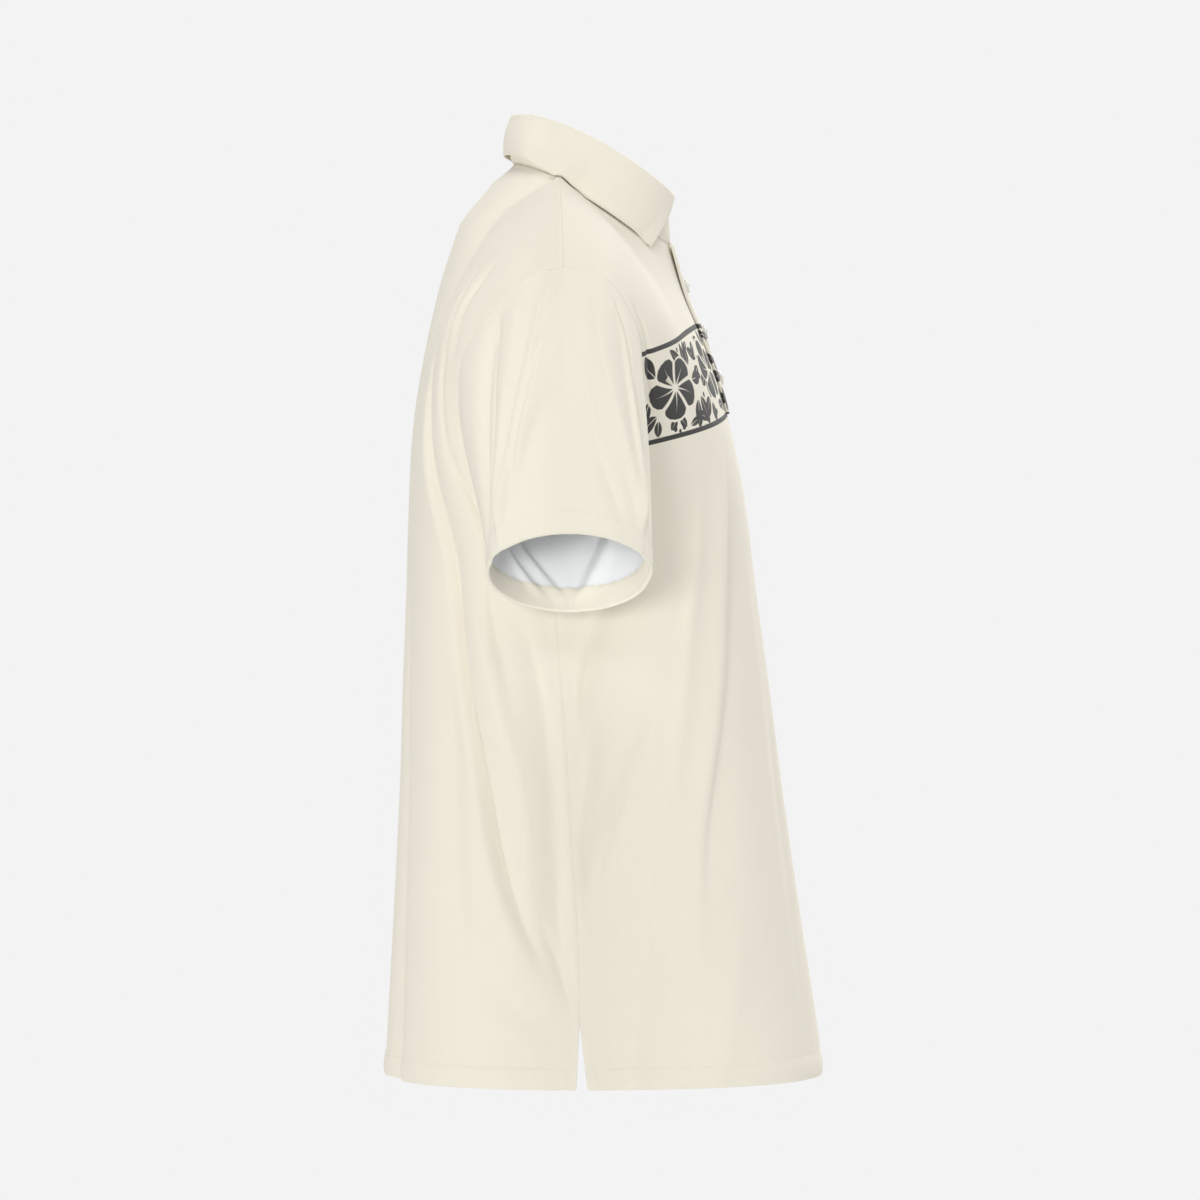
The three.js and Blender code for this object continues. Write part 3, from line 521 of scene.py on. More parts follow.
def relaxed(grid, weight, times, ring=False):
    """A grid evened out along both of its directions, as strongly as weight says at each point."""
    for _ in range(times):
        moved = np.zeros_like(grid)
        moved[1:-1] += (grid[:-2] + grid[2:]) / 2 - grid[1:-1]
        if ring:
            moved += (np.roll(grid, 1, axis=1) + np.roll(grid, -1, axis=1)) / 2 - grid
        else:
            moved[:, 1:-1] += (grid[:, :-2] + grid[:, 2:]) / 2 - grid[:, 1:-1]
        grid = grid + moved * weight[..., None] * 0.45
    return grid


def lengths_along(grid, axis):
    """Distance along the cloth from the grid's first row or column to each point."""
    steps = length_of(np.diff(grid, axis=axis))
    start = np.zeros_like(np.take(steps, [0], axis=axis))
    return np.concatenate([start, np.cumsum(steps, axis=axis)], axis=axis)


def distances(grid):
    """How far each point is from the first side, the nearer side, the top and the low edge."""
    across = lengths_along(grid, 1)
    return (across, np.minimum(across, across[:, -1:] - across), lengths_along(grid, 0),
            lengths_along(grid[::-1], 0)[::-1])


def read_at(values, rows, columns):
    """Values of a grid at fractional rows and columns."""
    rows, columns = np.broadcast_arrays(np.asarray(rows, float), np.asarray(columns, float))
    r = np.clip(rows.astype(int), 0, values.shape[0] - 2)
    c = np.clip(columns.astype(int), 0, values.shape[1] - 2)
    u, v = rows - r, columns - c
    if values.ndim == 3:
        u, v = u[..., None], v[..., None]
    return (values[r, c] * (1 - u) * (1 - v) + values[r + 1, c] * u * (1 - v)
            + values[r, c + 1] * (1 - u) * v + values[r + 1, c + 1] * u * v)


def bump(distance, centre, width):
    return np.exp(-(((distance - centre) / width) ** 2))


def band(distance, start, end, soft=0.4):
    return ease((distance - start) / soft + 0.5) * (1 - ease((distance - end) / soft + 0.5))


# %% Shells
def skins(distance, outer_extra, inner_extra, half=CLOTH / 2, reach=1.2):
    """Outer and inner distance from the middle, turned round in a quarter circle at an edge."""
    near = np.clip(1 - distance / reach, 0, 1)
    near = np.sqrt(np.maximum(1 - near * near, 0.012))
    return (half + outer_extra) * near, -(half + inner_extra) * near


def new_mesh(name, points, faces, slots=None, uv=None):
    """A mesh object from points in millimetres. faces is a list of equal-length rows."""
    mesh = bpy.data.meshes.new(name)
    sides = faces.shape[1]
    mesh.vertices.add(len(points))
    mesh.vertices.foreach_set("co", (points * 0.001).astype(np.float32).ravel())
    mesh.loops.add(faces.size)
    mesh.loops.foreach_set("vertex_index", faces.astype(np.int32).ravel())
    mesh.polygons.add(len(faces))
    mesh.polygons.foreach_set("loop_start", np.arange(0, faces.size, sides, dtype=np.int32))
    mesh.polygons.foreach_set("use_smooth", np.ones(len(faces), bool))
    if slots is not None:
        mesh.polygons.foreach_set("material_index", slots.astype(np.int32))
        layer = mesh.uv_layers.new(name="cut")
        layer.data.foreach_set("uv", uv.astype(np.float32).ravel())
    mesh.update(calc_edges=True)
    mesh.validate()
    return placed(name, mesh)


def cloth_piece(name, grid, outer, inner, uv, turned=True, kept=True, ring=False, **more):
    """A closed shell of cloth, with what the sewing reads off it later.

    turned marks grid cells where the inner skin is turned-up cloth, and kept those that are there.
    """
    rows, columns = grid.shape[:2]
    cells = (rows - 1, columns if ring else columns - 1)
    kept, turned = np.broadcast_to(kept, cells), np.broadcast_to(turned, cells)
    normals = grid_normals(grid, ring)
    points = np.concatenate([(grid + normals * skin[..., None]).reshape(-1, 3)
                             for skin in (outer, inner)])
    number = np.arange(rows * columns).reshape(rows, columns)
    r, c = np.nonzero(kept)
    a, b, d, e = [np.column_stack([number[i, j % columns], uv[i, j]])
                  for i, j in ((r, c), (r, c + 1), (r + 1, c), (r + 1, c + 1))]
    under = np.array([rows * columns, 0, 0])
    corners = [np.stack([a, d, e, b], 1), np.stack([a, b, e, d], 1) + under]
    slots = [np.zeros(len(r)), np.where(turned[r, c], 0, 1)]
    framed = np.zeros((rows + 1, cells[1] + 2), bool)
    framed[1:-1, 1:-1] = kept
    if ring:
        framed[1:-1, 0], framed[1:-1, -1] = kept[:, -1], kept[:, 0]
    for up, over, p, q in ((-1, 0, b, a), (1, 0, d, e), (0, -1, a, d), (0, 1, e, b)):
        bare = ~framed[r + 1 + up, c + 1 + over]
        p, q = p[bare], q[bare]
        corners.append(np.stack([q, p, p + under, q + under], 1))
        slots.append(np.zeros(len(p)))
    corners = np.concatenate(corners)
    used, faces = np.unique(corners[..., 0].astype(int), return_inverse=True)
    piece = new_mesh(f"{name}_cloth", points[used], faces.reshape(-1, 4), np.concatenate(slots),
                     corners[..., 1:])
    loop = np.concatenate([grid, grid[:, :1]], axis=1) if ring else grid
    crossed = np.cross(loop[1:, 1:] - loop[:-1, :-1], loop[:-1, 1:] - loop[1:, :-1])
    area = float(length_of(crossed).sum() / 2 * 1e-6)
    print(f"{name}: {len(corners) * 2} triangles, {area:.4f} m2 of cloth")
    return {"piece": piece, "grid": grid, "normals": normals, "outer": outer, "area": area, **more}

# %% [markdown]
# ## Front and back
#
# Each panel is cut in one piece from shoulder to hem. Both halves are made on the same form and get
# their own folds. The front has a slot for the placket. The hem is turned up inside by 20 mm and
# stitched, so the cloth is thicker there and the outside swells softly above the fold.

# %% Grids of the body
HALF_COLUMNS = 186
UPPER_ROWS = 36
LOWER_ROWS = 62
STRIP_COLUMNS = 11
COLUMN_SPACING = 1.55
# Distances from an edge, in millimetres, where a grid gets extra rows or columns
HEM_LEVELS = (0, 0.25, 0.6, 1.1, 1.8, 2.9, 5, 8, 11.5, 14.5, 16.2, 17.2, 18, 18.6, 19.2, 19.7, 20, 20.3,
              21, 22.5)
SEAM_STEPS = (0.12, 0.35, 0.7, 1.2, 1.8, 2.6, 3.3, 3.8, 4.3, 5)
VENT_STEPS = (0.12, 0.35, 0.7, 1.2, 1.9, 3, 5, 7, 7.8, 8.4, 9, 9.6)


def indexes(count, spacing, near_start, near_end):
    """Fractional indexes with extra ones at these distances, in millimetres, from either end."""
    start = np.array((0,) + near_start) / spacing
    end = count - 1 - np.array(near_end)[::-1] / spacing
    between = np.arange(math.ceil(start[-1] + 0.6), math.floor(end[0] - 0.6) + 1)
    return np.concatenate([start, between, end])


def body_half(face, side):
    """Grid of one half panel, from the side (column 0) to the middle, with its folds."""
    middle_x = PLACKET_HALF_WIDTH if face == "front" else 0
    places = np.linspace(0, 1, HALF_COLUMNS + 1)[None, :]
    shares = np.linspace(0, 1, UPPER_ROWS + 1)[:, None]
    levels = np.linspace(UNDERARM_Z, HEM_Z, LOWER_ROWS + 1)[1:, None]
    low = section(face, levels, places, middle_x)
    opening = np.clip((VENT_TOP_Z - levels) / (VENT_TOP_Z - HEM_Z), 0, 1)
    forward = -1 if face == "front" else 1
    low[..., 1] += forward * VENT_OPENING * opening * (1 - ease(places / 0.2)) / 2
    grid = np.concatenate([upper_panel(face, middle_x)(places, shares), low])
    row = np.arange(len(grid))[:, None]
    joint = bump(row, UPPER_ROWS, 5.5) * ease(places / 0.05)
    grid = relaxed(grid, joint * (row > 0), 40)
    z = grid[..., 2]
    height = sum(fold_height(places, z, *fold) for fold in BODY_FOLDS[face, side])
    below = ease((UNDERARM_Z - 10 - z) / 40) * (1 - ease((VENT_TOP_Z + 30 - z) / 30))
    seam_ridge = 1.1 * bump(lengths_along(grid, 1), 0, 3.6) * below
    raised = grid_normals(grid) * forward * (height * ease(places / 0.05) + seam_ridge)[..., None]
    return (grid + raised) * (side, 1, 1)


def body_grid(face):
    right, left = body_half(face, -1), body_half(face, 1)
    if face == "back":
        return np.concatenate([left, right[:, ::-1][:, 1:]], axis=1)
    x = np.linspace(-PLACKET_HALF_WIDTH, PLACKET_HALF_WIDTH, STRIP_COLUMNS)[None, 1:-1]
    z = right[:, -1:, 2]
    middle = middle_y["front"](z)
    edge = (right[:, -1:, 1] + left[:, -1:, 1]) / 2 - middle
    strip = points_of(x, middle + edge * (x / PLACKET_HALF_WIDTH) ** 2, z)
    return np.concatenate([right, strip, left[:, ::-1]], axis=1)


# %% [markdown]
# ## Cut co-ordinates
#
# Knit ribs and the printed band belong to the flat cloth, so each piece carries a UV map named
# "cut": the distance from the piece's middle line, and the distance down it, in metres. On the
# front the band is straight on the cloth, but the cloth drops towards the armholes when it is worn.

# %% Front and back
BAND_DROP = 25
BAND_DROP_AT = 200
CLOTH_PER_Z = 1.066


def cut_of(across, down):
    """Cut co-ordinates, in metres."""
    return np.stack([across, down], axis=-1) * 0.001


def front_cut(across, z):
    """Cut co-ordinates on the front, from the distance to its middle and the height."""
    drop = BAND_DROP * np.abs(across / BAND_DROP_AT) ** 1.5
    return cut_of(across, (z + drop) * CLOTH_PER_Z)


def cell(values):
    return (values[1:, 1:] + values[:-1, :-1]) / 2


bodies = {}
for face in ("front", "back"):
    coarse = body_grid(face)
    down = indexes(len(coarse), (UNDERARM_Z - HEM_Z) / LOWER_ROWS, SEAM_STEPS, HEM_LEVELS)
    over = indexes(coarse.shape[1], COLUMN_SPACING, VENT_STEPS, (0,) + VENT_STEPS)
    grid = read_at(coarse, down[:, None], over[None, :])
    # The side seams are sewn shut, down to the vents
    closing = 0.13 * (1 - ease((VENT_TOP_Z + 4 - grid[:, 0, 2:]) / 8))
    for end, next_in in ((0, 1), (-1, -2)):
        outward = grid[:, end] - grid[:, next_in]
        grid[:, end] += outward / length_of(outward)[:, None] * closing
    across, from_side, from_top, from_hem = distances(grid)
    z = grid[..., 2]
    in_vent = ease((VENT_TOP_Z + 4 - z) / 8)
    middle = np.interp((over[0] + over[-1]) / 2, over, np.arange(len(over)))
    centre = read_at(across, np.arange(len(grid)), np.full(len(grid), middle))[:, None]
    hem_swell = 1 - ease((from_hem - 13) / 7) - 1.3 * np.clip(1 - from_hem / 9, 0, 1) ** 2
    strip = band(from_top, 0.9, 4.4, 0.7) if face == "back" else 0
    vent_edge = in_vent * band(from_side, -1, 8.6, 1.2)
    outer_extra = (1.15 * hem_swell - 0.1 * bump(from_hem, 18.4, 0.9) + 0.45 * strip
                   + 0.3 * vent_edge - 0.25 * in_vent * bump(from_side, 8.4, 0.7)
                   + 0.22 * (1 - in_vent) * bump(from_side, 3.2, 2.2))
    seam_allowance = (1 - in_vent) * band(from_side, -1, 8, 0.8) + band(from_top, -1, 8, 0.8)
    inner_extra = np.maximum(1.15 * band(from_hem, -1, HEM_DEPTH, 0.5), 0.9 * vent_edge)
    inner_extra = np.maximum(inner_extra, 0.8 * np.clip(seam_allowance, 0, 1))
    sewn_side = from_side * (1 + 8 * (1 - in_vent))
    edge = np.minimum(np.minimum(sewn_side, from_top * 1.8), from_hem * 1.1)
    uv = front_cut(across - centre, z) if face == "front" else cut_of(across - centre, -from_top)
    turned = (cell(from_hem) < HEM_DEPTH + 0.1) | ((cell(z) < VENT_TOP_Z) & (cell(from_side) < 9))
    in_slot = (np.abs(cell(grid[..., 0])) < PLACKET_HALF_WIDTH) & (cell(z) > PLACKET_END_Z)
    bodies[face] = cloth_piece(face, grid, *skins(edge, outer_extra, inner_extra), uv, turned,
                               ~in_slot | (face == "back"), across=across, from_top=from_top,
                               from_hem=from_hem)

# %% [markdown]
# ## Sleeves
#
# A sleeve is a tube from the armhole to the cuff. It leaves the armhole downwards and outwards and
# ends in an oval opening that is square to the sleeve. Its hem is turned up by 22 mm and stitched.

# %% Sleeves
SLEEVE_LEAN = math.radians(31)
CUFF_CENTRE = np.array([326.5, -9, -323.2])
CUFF_HALF_WIDTH = 59.7
CUFF_HALF_DEPTH = 64.5
SLEEVE_HEM = 22
SLEEVE_OVERARM = 250
SLEEVE_AROUND = 300
SLEEVE_ALONG = 56

# Way out of the armhole: place round it, x, y, z
SLEEVE_START = ((0, 0.8, 0, -0.6), (0.25, 0.62, -0.12, -0.76), (0.5, 0.8, -0.1, -0.6),
                (0.75, 0.62, 0.06, -0.76), (1, 0.8, 0, -0.6))


def sleeve_grid(side):
    around = np.arange(SLEEVE_AROUND) / SLEEVE_AROUND
    share = np.linspace(0, 1, SLEEVE_ALONG + 1)[:, None]
    t = 1 - np.abs(1 - 2 * around)
    ahead = around <= 0.5
    starts = [points_of(*[curve(t) for curve in curves_through(ARMHOLE[face])[:3]])
              for face in ("front", "back")]
    start = np.where(ahead[:, None], *starts)
    outward = np.array([math.cos(SLEEVE_LEAN), 0, math.sin(SLEEVE_LEAN)])
    axis = np.array([math.sin(SLEEVE_LEAN), 0, -math.cos(SLEEVE_LEAN)])
    end = CUFF_CENTRE + outward * (CUFF_HALF_WIDTH * np.cos(math.pi * t))[:, None]
    end[:, 1] += np.where(ahead, -1, 1) * CUFF_HALF_DEPTH * np.sin(math.pi * t)
    reach = length_of(end - start)[:, None]
    leave = points_of(*[curve(around) for curve in curves_through(SLEEVE_START)])
    leave *= reach / length_of(leave)[:, None]
    grid = hermite(start, leave, end, axis * reach, share[..., None])
    place = np.broadcast_to(around, grid.shape[:2])
    if side > 0:
        grid, place = grid[:, ::-1], place[:, ::-1]
    grid = grid * (side, 1, 1)
    grid = relaxed(grid, ease(share / 0.15) * (1 - ease((share - 0.93) / 0.05)), 12, ring=True)
    height = sum(fold_height(place, share, True, *fold, round_it=True) for fold in SLEEVE_FOLDS[side])
    fading = ease(share / 0.12) * (1 - 0.8 * ease((share - 0.8) / 0.16))
    return grid + grid_normals(grid, ring=True) * (height * fading)[..., None]


sleeves = {}
hem_levels = tuple(level * SLEEVE_HEM / HEM_DEPTH for level in HEM_LEVELS)
for name, side in (("sleeve_right", -1), ("sleeve_left", 1)):
    coarse = sleeve_grid(side)
    down = indexes(len(coarse), SLEEVE_OVERARM / SLEEVE_ALONG, SEAM_STEPS, hem_levels)
    low = down.astype(int).clip(0, len(coarse) - 2)
    part = (down - low)[:, None, None]
    grid = coarse[low] * (1 - part) + coarse[low + 1] * part
    from_top, from_hem = distances(grid)[2:]
    hem_swell = 1 - ease((from_hem - 17) / 3) - 1.1 * np.clip(1 - from_hem / 5, 0, 1) ** 2
    outer_extra = 0.5 * hem_swell - 0.1 * bump(from_hem, 20.2, 0.9) + 0.25 * bump(from_top, 3.4, 2.4)
    inner_extra = np.maximum(band(from_hem, -1, SLEEVE_HEM, 0.5), 0.8 * band(from_top, -1, 9, 0.8))
    u = lengths_along(np.concatenate([grid, grid[:, :1]], axis=1), 1)
    uv = cut_of(u - u[:, -1:] / 2, -np.concatenate([from_top, from_top[:, :1]], axis=1))
    turned = (from_hem[1:] + from_hem[:-1]) / 2 < SLEEVE_HEM + 0.1
    edge = np.minimum(from_top, from_hem * 1.1)
    sleeves[name] = cloth_piece(name, grid, *skins(edge, outer_extra, inner_extra), uv, turned,
                                ring=True, from_hem=from_hem)
    print("cuff round, mm:", round(float(u[-1, -1])))

# %% [markdown]
# ## Collar
#
# The collar is double cloth: a stand sewn into the neck, and a fall that rolls over it and ends in
# two points. The roll is a half circle of 3 mm radius, and the fall spreads from it to its free
# edge with a slight belly. The edge rests on the shoulders, so each place of it is moved towards the
# cloth below until it lies there. Its edges are turned and pressed, so they are round and firm.

# %% Collar
ROLL_HALF_WIDTH = 73
ROLL_BACK_DEPTH = 40
ROLL_FRONT_DEPTH = 89.5
ROLL_RADIUS = 3
FALL_HALF_WIDTH = 93
FALL_BACK_DEPTH = 48
FALL_FRONT_DEPTH = 100
COLLAR_MIDDLE_Y = -2
COLLAR_END_ANGLE = 3.13
FALL_TIP_ANGLE = 2.42
FALL_SPREAD_POWER = 2.5
FALL_BELLY = 2.2
STAND_LIFT = 0.5
STAND_BULGE = 4.6
COLLAR_COLUMNS = 210
COLLAR_SPACING = 2.3
COLLAR_EDGE_STEPS = (0.15, 0.4, 0.8, 1.3, 2)


def oval(angle, half_width, back_depth, front_depth):
    """x and y of a line round the neck, for angles from 0 behind to pi in front."""
    depth = np.where(angle < math.pi / 2, back_depth, front_depth)
    return half_width * np.sin(angle), COLLAR_MIDDLE_Y + depth * np.cos(angle)


def roll_line(angle):
    x, y = oval(angle, ROLL_HALF_WIDTH, ROLL_BACK_DEPTH, ROLL_FRONT_DEPTH)
    return points_of(x, y, 46.7 + 0.37 * y - 0.0024 * y * y)


def fall_edge(angle):
    x, y = oval(angle, FALL_HALF_WIDTH, FALL_BACK_DEPTH, FALL_FRONT_DEPTH)
    return points_of(x, y, 3.5 + 0.62 * y - 0.0012 * y * y - 0.0026 * np.maximum(y, 0) ** 2)


fractions = indexes(COLLAR_COLUMNS + 1, COLLAR_SPACING, COLLAR_EDGE_STEPS, (0,) + COLLAR_EDGE_STEPS)
places = 1 - 2 * fractions / COLLAR_COLUMNS
size = np.abs(places)
angle = size * COLLAR_END_ANGLE
mirror = np.where(places < 0, -1, 1)[:, None] ** np.array([1, 0, 0])
ahead = roll_line(angle + 0.01) - roll_line(angle - 0.01)
out = points_of(-ahead[:, 1], ahead[:, 0], 0)
out = out / length_of(out)[:, None] * mirror
up = np.array([0, 0, 1])
roll_middle = (roll_line(angle) - ROLL_RADIUS * up) * mirror
tip = (COLLAR_END_ANGLE - FALL_TIP_ANGLE) * size ** FALL_SPREAD_POWER
free_edge = fall_edge(angle - tip) * mirror

shoulders = [body["grid"] + body["normals"] * body["outer"][..., None] for body in bodies.values()]
shoulders = np.concatenate([skin[skin[..., 2] > -130] for skin in shoulders])
nearby = KDTree(len(shoulders))
for number, point in enumerate(shoulders):
    nearby.insert(point, number)
nearby.balance()


def settling(point, rest=1.8, most=5):
    """The move that lays a point on the cloth below it."""
    nearest, number, gap = nearby.find(point)
    return np.array(nearest - Vector(point)) * (min(gap - rest, most) / gap)


laid = ease((size - 0.3) / 0.25)[:, None]
for width in (19, 19, 9, 5):
    window = np.hanning(width + 2)[1:-1]
    moves = laid * np.array([settling(point) for point in free_edge])
    moves = [np.convolve(np.pad(axis, width // 2, mode="edge"), window / window.sum(), "valid")
             for axis in moves.T]
    free_edge = free_edge + np.stack(moves, axis=-1)
print("collar's edge above the cloth, mm:", min(nearby.find(point)[2] for point in free_edge))

turns = np.linspace(math.pi, 0, 13)[:, None, None]
roll_rows = roll_middle + ROLL_RADIUS * (np.cos(turns) * out + np.sin(turns) * up)
shares = np.concatenate([np.linspace(0, 1, 19)[1:-1], [0.962, 0.974, 0.984, 0.992, 0.997, 1]])
shares = shares[:, None, None]
fall_rows = (mix(roll_middle + out * ROLL_RADIUS, free_edge, shares)
             + out * FALL_BELLY * np.sin(math.pi * shares))
ups = np.linspace(1, 0, 13)[:, None, None]
stand_low = neck_seam(angle) * mirror + up * STAND_LIFT
behind = ease((0.7 - size) / 0.4)[:, None]
bulge = STAND_BULGE * behind * 6.75 * ups * (1 - ups) ** 2
stand_rows = mix(stand_low, roll_middle - out * ROLL_RADIUS, ups) + out * bulge

collar = {}
for name, grid in (("collar_fall", np.concatenate([roll_rows, fall_rows])),
                   ("collar_stand", stand_rows)):
    across, from_ends, down, from_low = distances(grid)
    edge = np.minimum(from_ends, from_low)
    pressed = 0.22 * bump(edge, 2.6, 1.4) if name == "collar_fall" else 0
    both = skins(np.minimum(edge, down + 0.35), pressed, pressed, COLLAR_CLOTH / 2, 1.6)
    collar[name] = cloth_piece(name, grid, *both, cut_of(across - across[:, -1:] / 2, -down))

# %% [markdown]
# ## Placket
#
# Two strips close the front, and the left one laps over the right. The upper strip stands a little
# off the under one at its free edge near the neck, where nothing holds it down. It is stitched
# along both folds and across its lower end.

# %% Placket strips
PLACKET_SIDE_STEPS = (0.12, 0.35, 0.7, 1.2, 1.8)
PLACKET_TOP_STEPS = (0.12, 0.4, 0.9)


def placket_point(x, z):
    seam = neck_seam(neck_angle_at(PLACKET_HALF_WIDTH))
    t = np.clip((seam[2] - z) / (seam[2] - UNDERARM_Z), 0, 1)
    high = seam[1] - middle_y["front"](seam[2])
    low = (section("front", UNDERARM_Z, 1.0, PLACKET_HALF_WIDTH)[1]
           - middle_y["front"](UNDERARM_Z))
    return points_of(x, middle_y["front"](z) + mix(high, low, t) * (x / PLACKET_HALF_WIDTH) ** 2, z)


def upper_height(x, z):
    free = ((PLACKET_HALF_WIDTH - x) / (2 * PLACKET_HALF_WIDTH)) ** 2
    high = ease((z - PLACKET_LIFT_END_Z) / (PLACKET_TOP_Z - PLACKET_LIFT_END_Z))
    pressed_down = 0.5 * (1 - ease((PLACKET_HALF_WIDTH + 1.5 - np.abs(x)) / 2.4)) * (1 - high)
    return PLACKET_LAP + 0.4 * PLACKET_LIFT * free * high - pressed_down


def placket_grid(half_width, end_z, height):
    x = indexes(41, half_width / 20, PLACKET_SIDE_STEPS, (0,) + PLACKET_SIDE_STEPS)
    x = mix(-half_width, half_width, x / 40)[None, :]
    share = indexes(61, 2.3, PLACKET_TOP_STEPS, (0,) + PLACKET_SIDE_STEPS) / 60
    top = neck_seam(neck_angle_at(np.abs(x) + 0.01))[..., 2]
    z = mix(top, end_z, share[:, None])
    grid = placket_point(x, z)
    return grid + grid_normals(grid) * height(x, z)[..., None]


placket = {}
for name, half_width, end_z, height in (
        ("placket_under", PLACKET_HALF_WIDTH - 0.18, PLACKET_END_Z + 0.8, lambda x, z: 0 * x * z),
        ("placket_upper", PLACKET_HALF_WIDTH + 1.5, PLACKET_END_Z - 4, upper_height)):
    grid = placket_grid(half_width, end_z, height)
    across, from_side, down, from_low = distances(grid)
    edge = np.minimum(from_side, from_low)
    stitched = 0.16 * bump(edge, 2.2, 0.6)
    both = skins(np.minimum(edge, down), -stitched, 0, PLACKET_CLOTH / 2, 1.1)
    placket[name] = cloth_piece(name, grid, *both, front_cut(grid[..., 0], grid[..., 2]))

# %% [markdown]
# ## Stitching
#
# The hems, the vents, the placket and the strip over the shoulder are held by rows of lockstitch.
# One stitch is a short bar of thread, drawn down at both ends. It is modelled once, with a few
# faces, and copied along each row on the cloth, sunk to half its thickness. Rows are read off the
# outer skin at a fixed distance from an edge, so they follow the folds.

# %% One stitch
STITCH_HALF_SIZE = (1.25, 0.24, 0.2)
STITCH_PITCH = 3.0


def form_of(operator, **sizes):
    """A mesh object from one of Blender's own forms, alone in the selection."""
    bpy.ops.object.select_all(action="DESELECT")
    operator(**sizes)
    return bpy.context.object


stitch = form_of(bpy.ops.mesh.primitive_uv_sphere_add, segments=6, ring_count=4, radius=1)
bpy.ops.object.mode_set(mode="EDIT")
bpy.ops.mesh.select_all(action="SELECT")
bpy.ops.transform.rotate(value=math.pi / 2, orient_axis="Y", center_override=(0, 0, 0))
bpy.ops.transform.resize(value=STITCH_HALF_SIZE, center_override=(0, 0, 0))
bpy.ops.mesh.quads_convert_to_tris()
bpy.ops.object.mode_set(mode="OBJECT")
STITCH_POINTS = np.array([vertex.co for vertex in stitch.data.vertices])
# Its faces are put in a fixed order, because the split into triangles has none of its own
corners = [polygon.vertices[:] for polygon in stitch.data.polygons]
STITCH_FACES = np.array(sorted(np.roll(face, -np.argmin(face)).tolist() for face in corners))
bpy.data.objects.remove(stitch)
print("one stitch:", len(STITCH_FACES), "faces")


# %% Rows of stitches
def row_across(made, field, value, columns=slice(None)):
    """Points and normals on the outer skin where a field over the rows has a value."""
    skin = made["grid"] + made["normals"] * made["outer"][..., None]
    points, outs = [], []
    for column in range(skin.shape[1])[columns]:
        heights = field[:, column]
        order = np.argsort(heights)
        at = np.interp(value, heights[order], np.arange(len(skin))[order])
        low = min(int(at), len(skin) - 2)
        points.append(mix(skin[low, column], skin[low + 1, column], at - low))
        outs.append(made["normals"][low, column])
    return np.array(points), np.array(outs)


def row_down(made, column, rows):
    """Points and normals on the outer skin down one column, which may lie between two."""
    skin = made["grid"] + made["normals"] * made["outer"][..., None]
    low = min(int(column), skin.shape[1] - 2)
    line = mix(skin[:, low], skin[:, low + 1], column - low)
    return line[rows], made["normals"][rows, low]


def stitches_along(points, outs, pitch=STITCH_PITCH, size=1.0):
    """A stitch at each pitch of a line, turned to the way along it and the way out."""
    far = lengths_along(points[:, None], 0)[:, 0]
    stops = np.arange(pitch, far[-1] - pitch / 2, pitch)

    def at(values, place):
        return points_of(*[np.interp(place, far, values[:, k]) for k in range(3)])

    along = at(points, stops + 0.4) - at(points, stops - 0.4)
    along /= length_of(along)[:, None]
    across = np.cross(at(outs, stops), along)
    across /= length_of(across)[:, None]
    axes = np.stack([along, across, np.cross(along, across)], axis=1) * size
    return at(points, stops)[:, None] + np.einsum("pk,skj->spj", STITCH_POINTS, axes)


def stitching(name, rows):
    """One mesh of all the stitches in some rows."""
    points = np.concatenate([row for row in rows if len(row)])
    count, each = points.shape[:2]
    faces = STITCH_FACES[None] + np.arange(count)[:, None, None] * each
    print(name, count, "stitches")
    return new_mesh(name, points.reshape(-1, 3), faces.reshape(-1, 3))


# %% Stitched hems, vents and shoulders
# Distances of the rows from the edge that they follow, and where the collar starts to cover them
HEM_ROW = 16.8
VENT_ROW = 7.6
SHOULDER_ROW = 5.4
SLEEVE_ROW = 19.6
COLLAR_COVERS = 84

sewing = []
for face, body in bodies.items():
    count = body["grid"].shape[1]
    rows = [stitches_along(*row_across(body, body["from_hem"], HEM_ROW, slice(12, count - 12)))]
    for distance in (body["across"], body["across"][:, -1:] - body["across"]):
        order = np.argsort(distance[-30])
        column = np.interp(VENT_ROW, distance[-30][order], order)
        vent_rows = np.where(body["grid"][:, int(column), 2] < VENT_TOP_Z + 4)[0]
        rows.append(stitches_along(*row_down(body, float(column), vent_rows[:-2])))
    if face == "back":
        for columns in (slice(12, count // 2 - 4), slice(count // 2 + 4, count - 12)):
            points, outs = row_across(body, body["from_top"], SHOULDER_ROW, columns)
            bare = np.abs(points[:, 0]) > COLLAR_COVERS
            rows.append(stitches_along(points[bare], outs[bare]))
    sewing.append(stitching(f"{face}_stitching", rows))
for name, sleeve in sleeves.items():
    line = row_across(sleeve, sleeve["from_hem"], SLEEVE_ROW)
    ring = stitches_along(*[np.concatenate([values, values[:2]]) for values in line])
    sewing.append(stitching(f"{name}_stitching", [ring]))

# %% Stitched placket
PLACKET_ROW = 2.2
PLACKET_CROSS_ROW = 12
PLACKET_STITCH = (2.6, 0.85)

upper = placket["placket_upper"]
upper["outer"] = np.full(upper["grid"].shape[:2], PLACKET_CLOTH / 2 - 0.14)
upper_across = lengths_along(upper["grid"], 1)[20]
rows = []
for distance in (PLACKET_ROW, upper_across[-1] - PLACKET_ROW):
    column = float(np.interp(distance, upper_across, np.arange(len(upper_across))))
    rows.append(stitches_along(*row_down(upper, column, slice(3, -9)), *PLACKET_STITCH))
from_low = distances(upper["grid"])[3]
for distance in (PLACKET_ROW, PLACKET_CROSS_ROW):
    row = row_across(upper, from_low, distance, slice(8, -8))
    rows.append(stitches_along(*row, *PLACKET_STITCH))

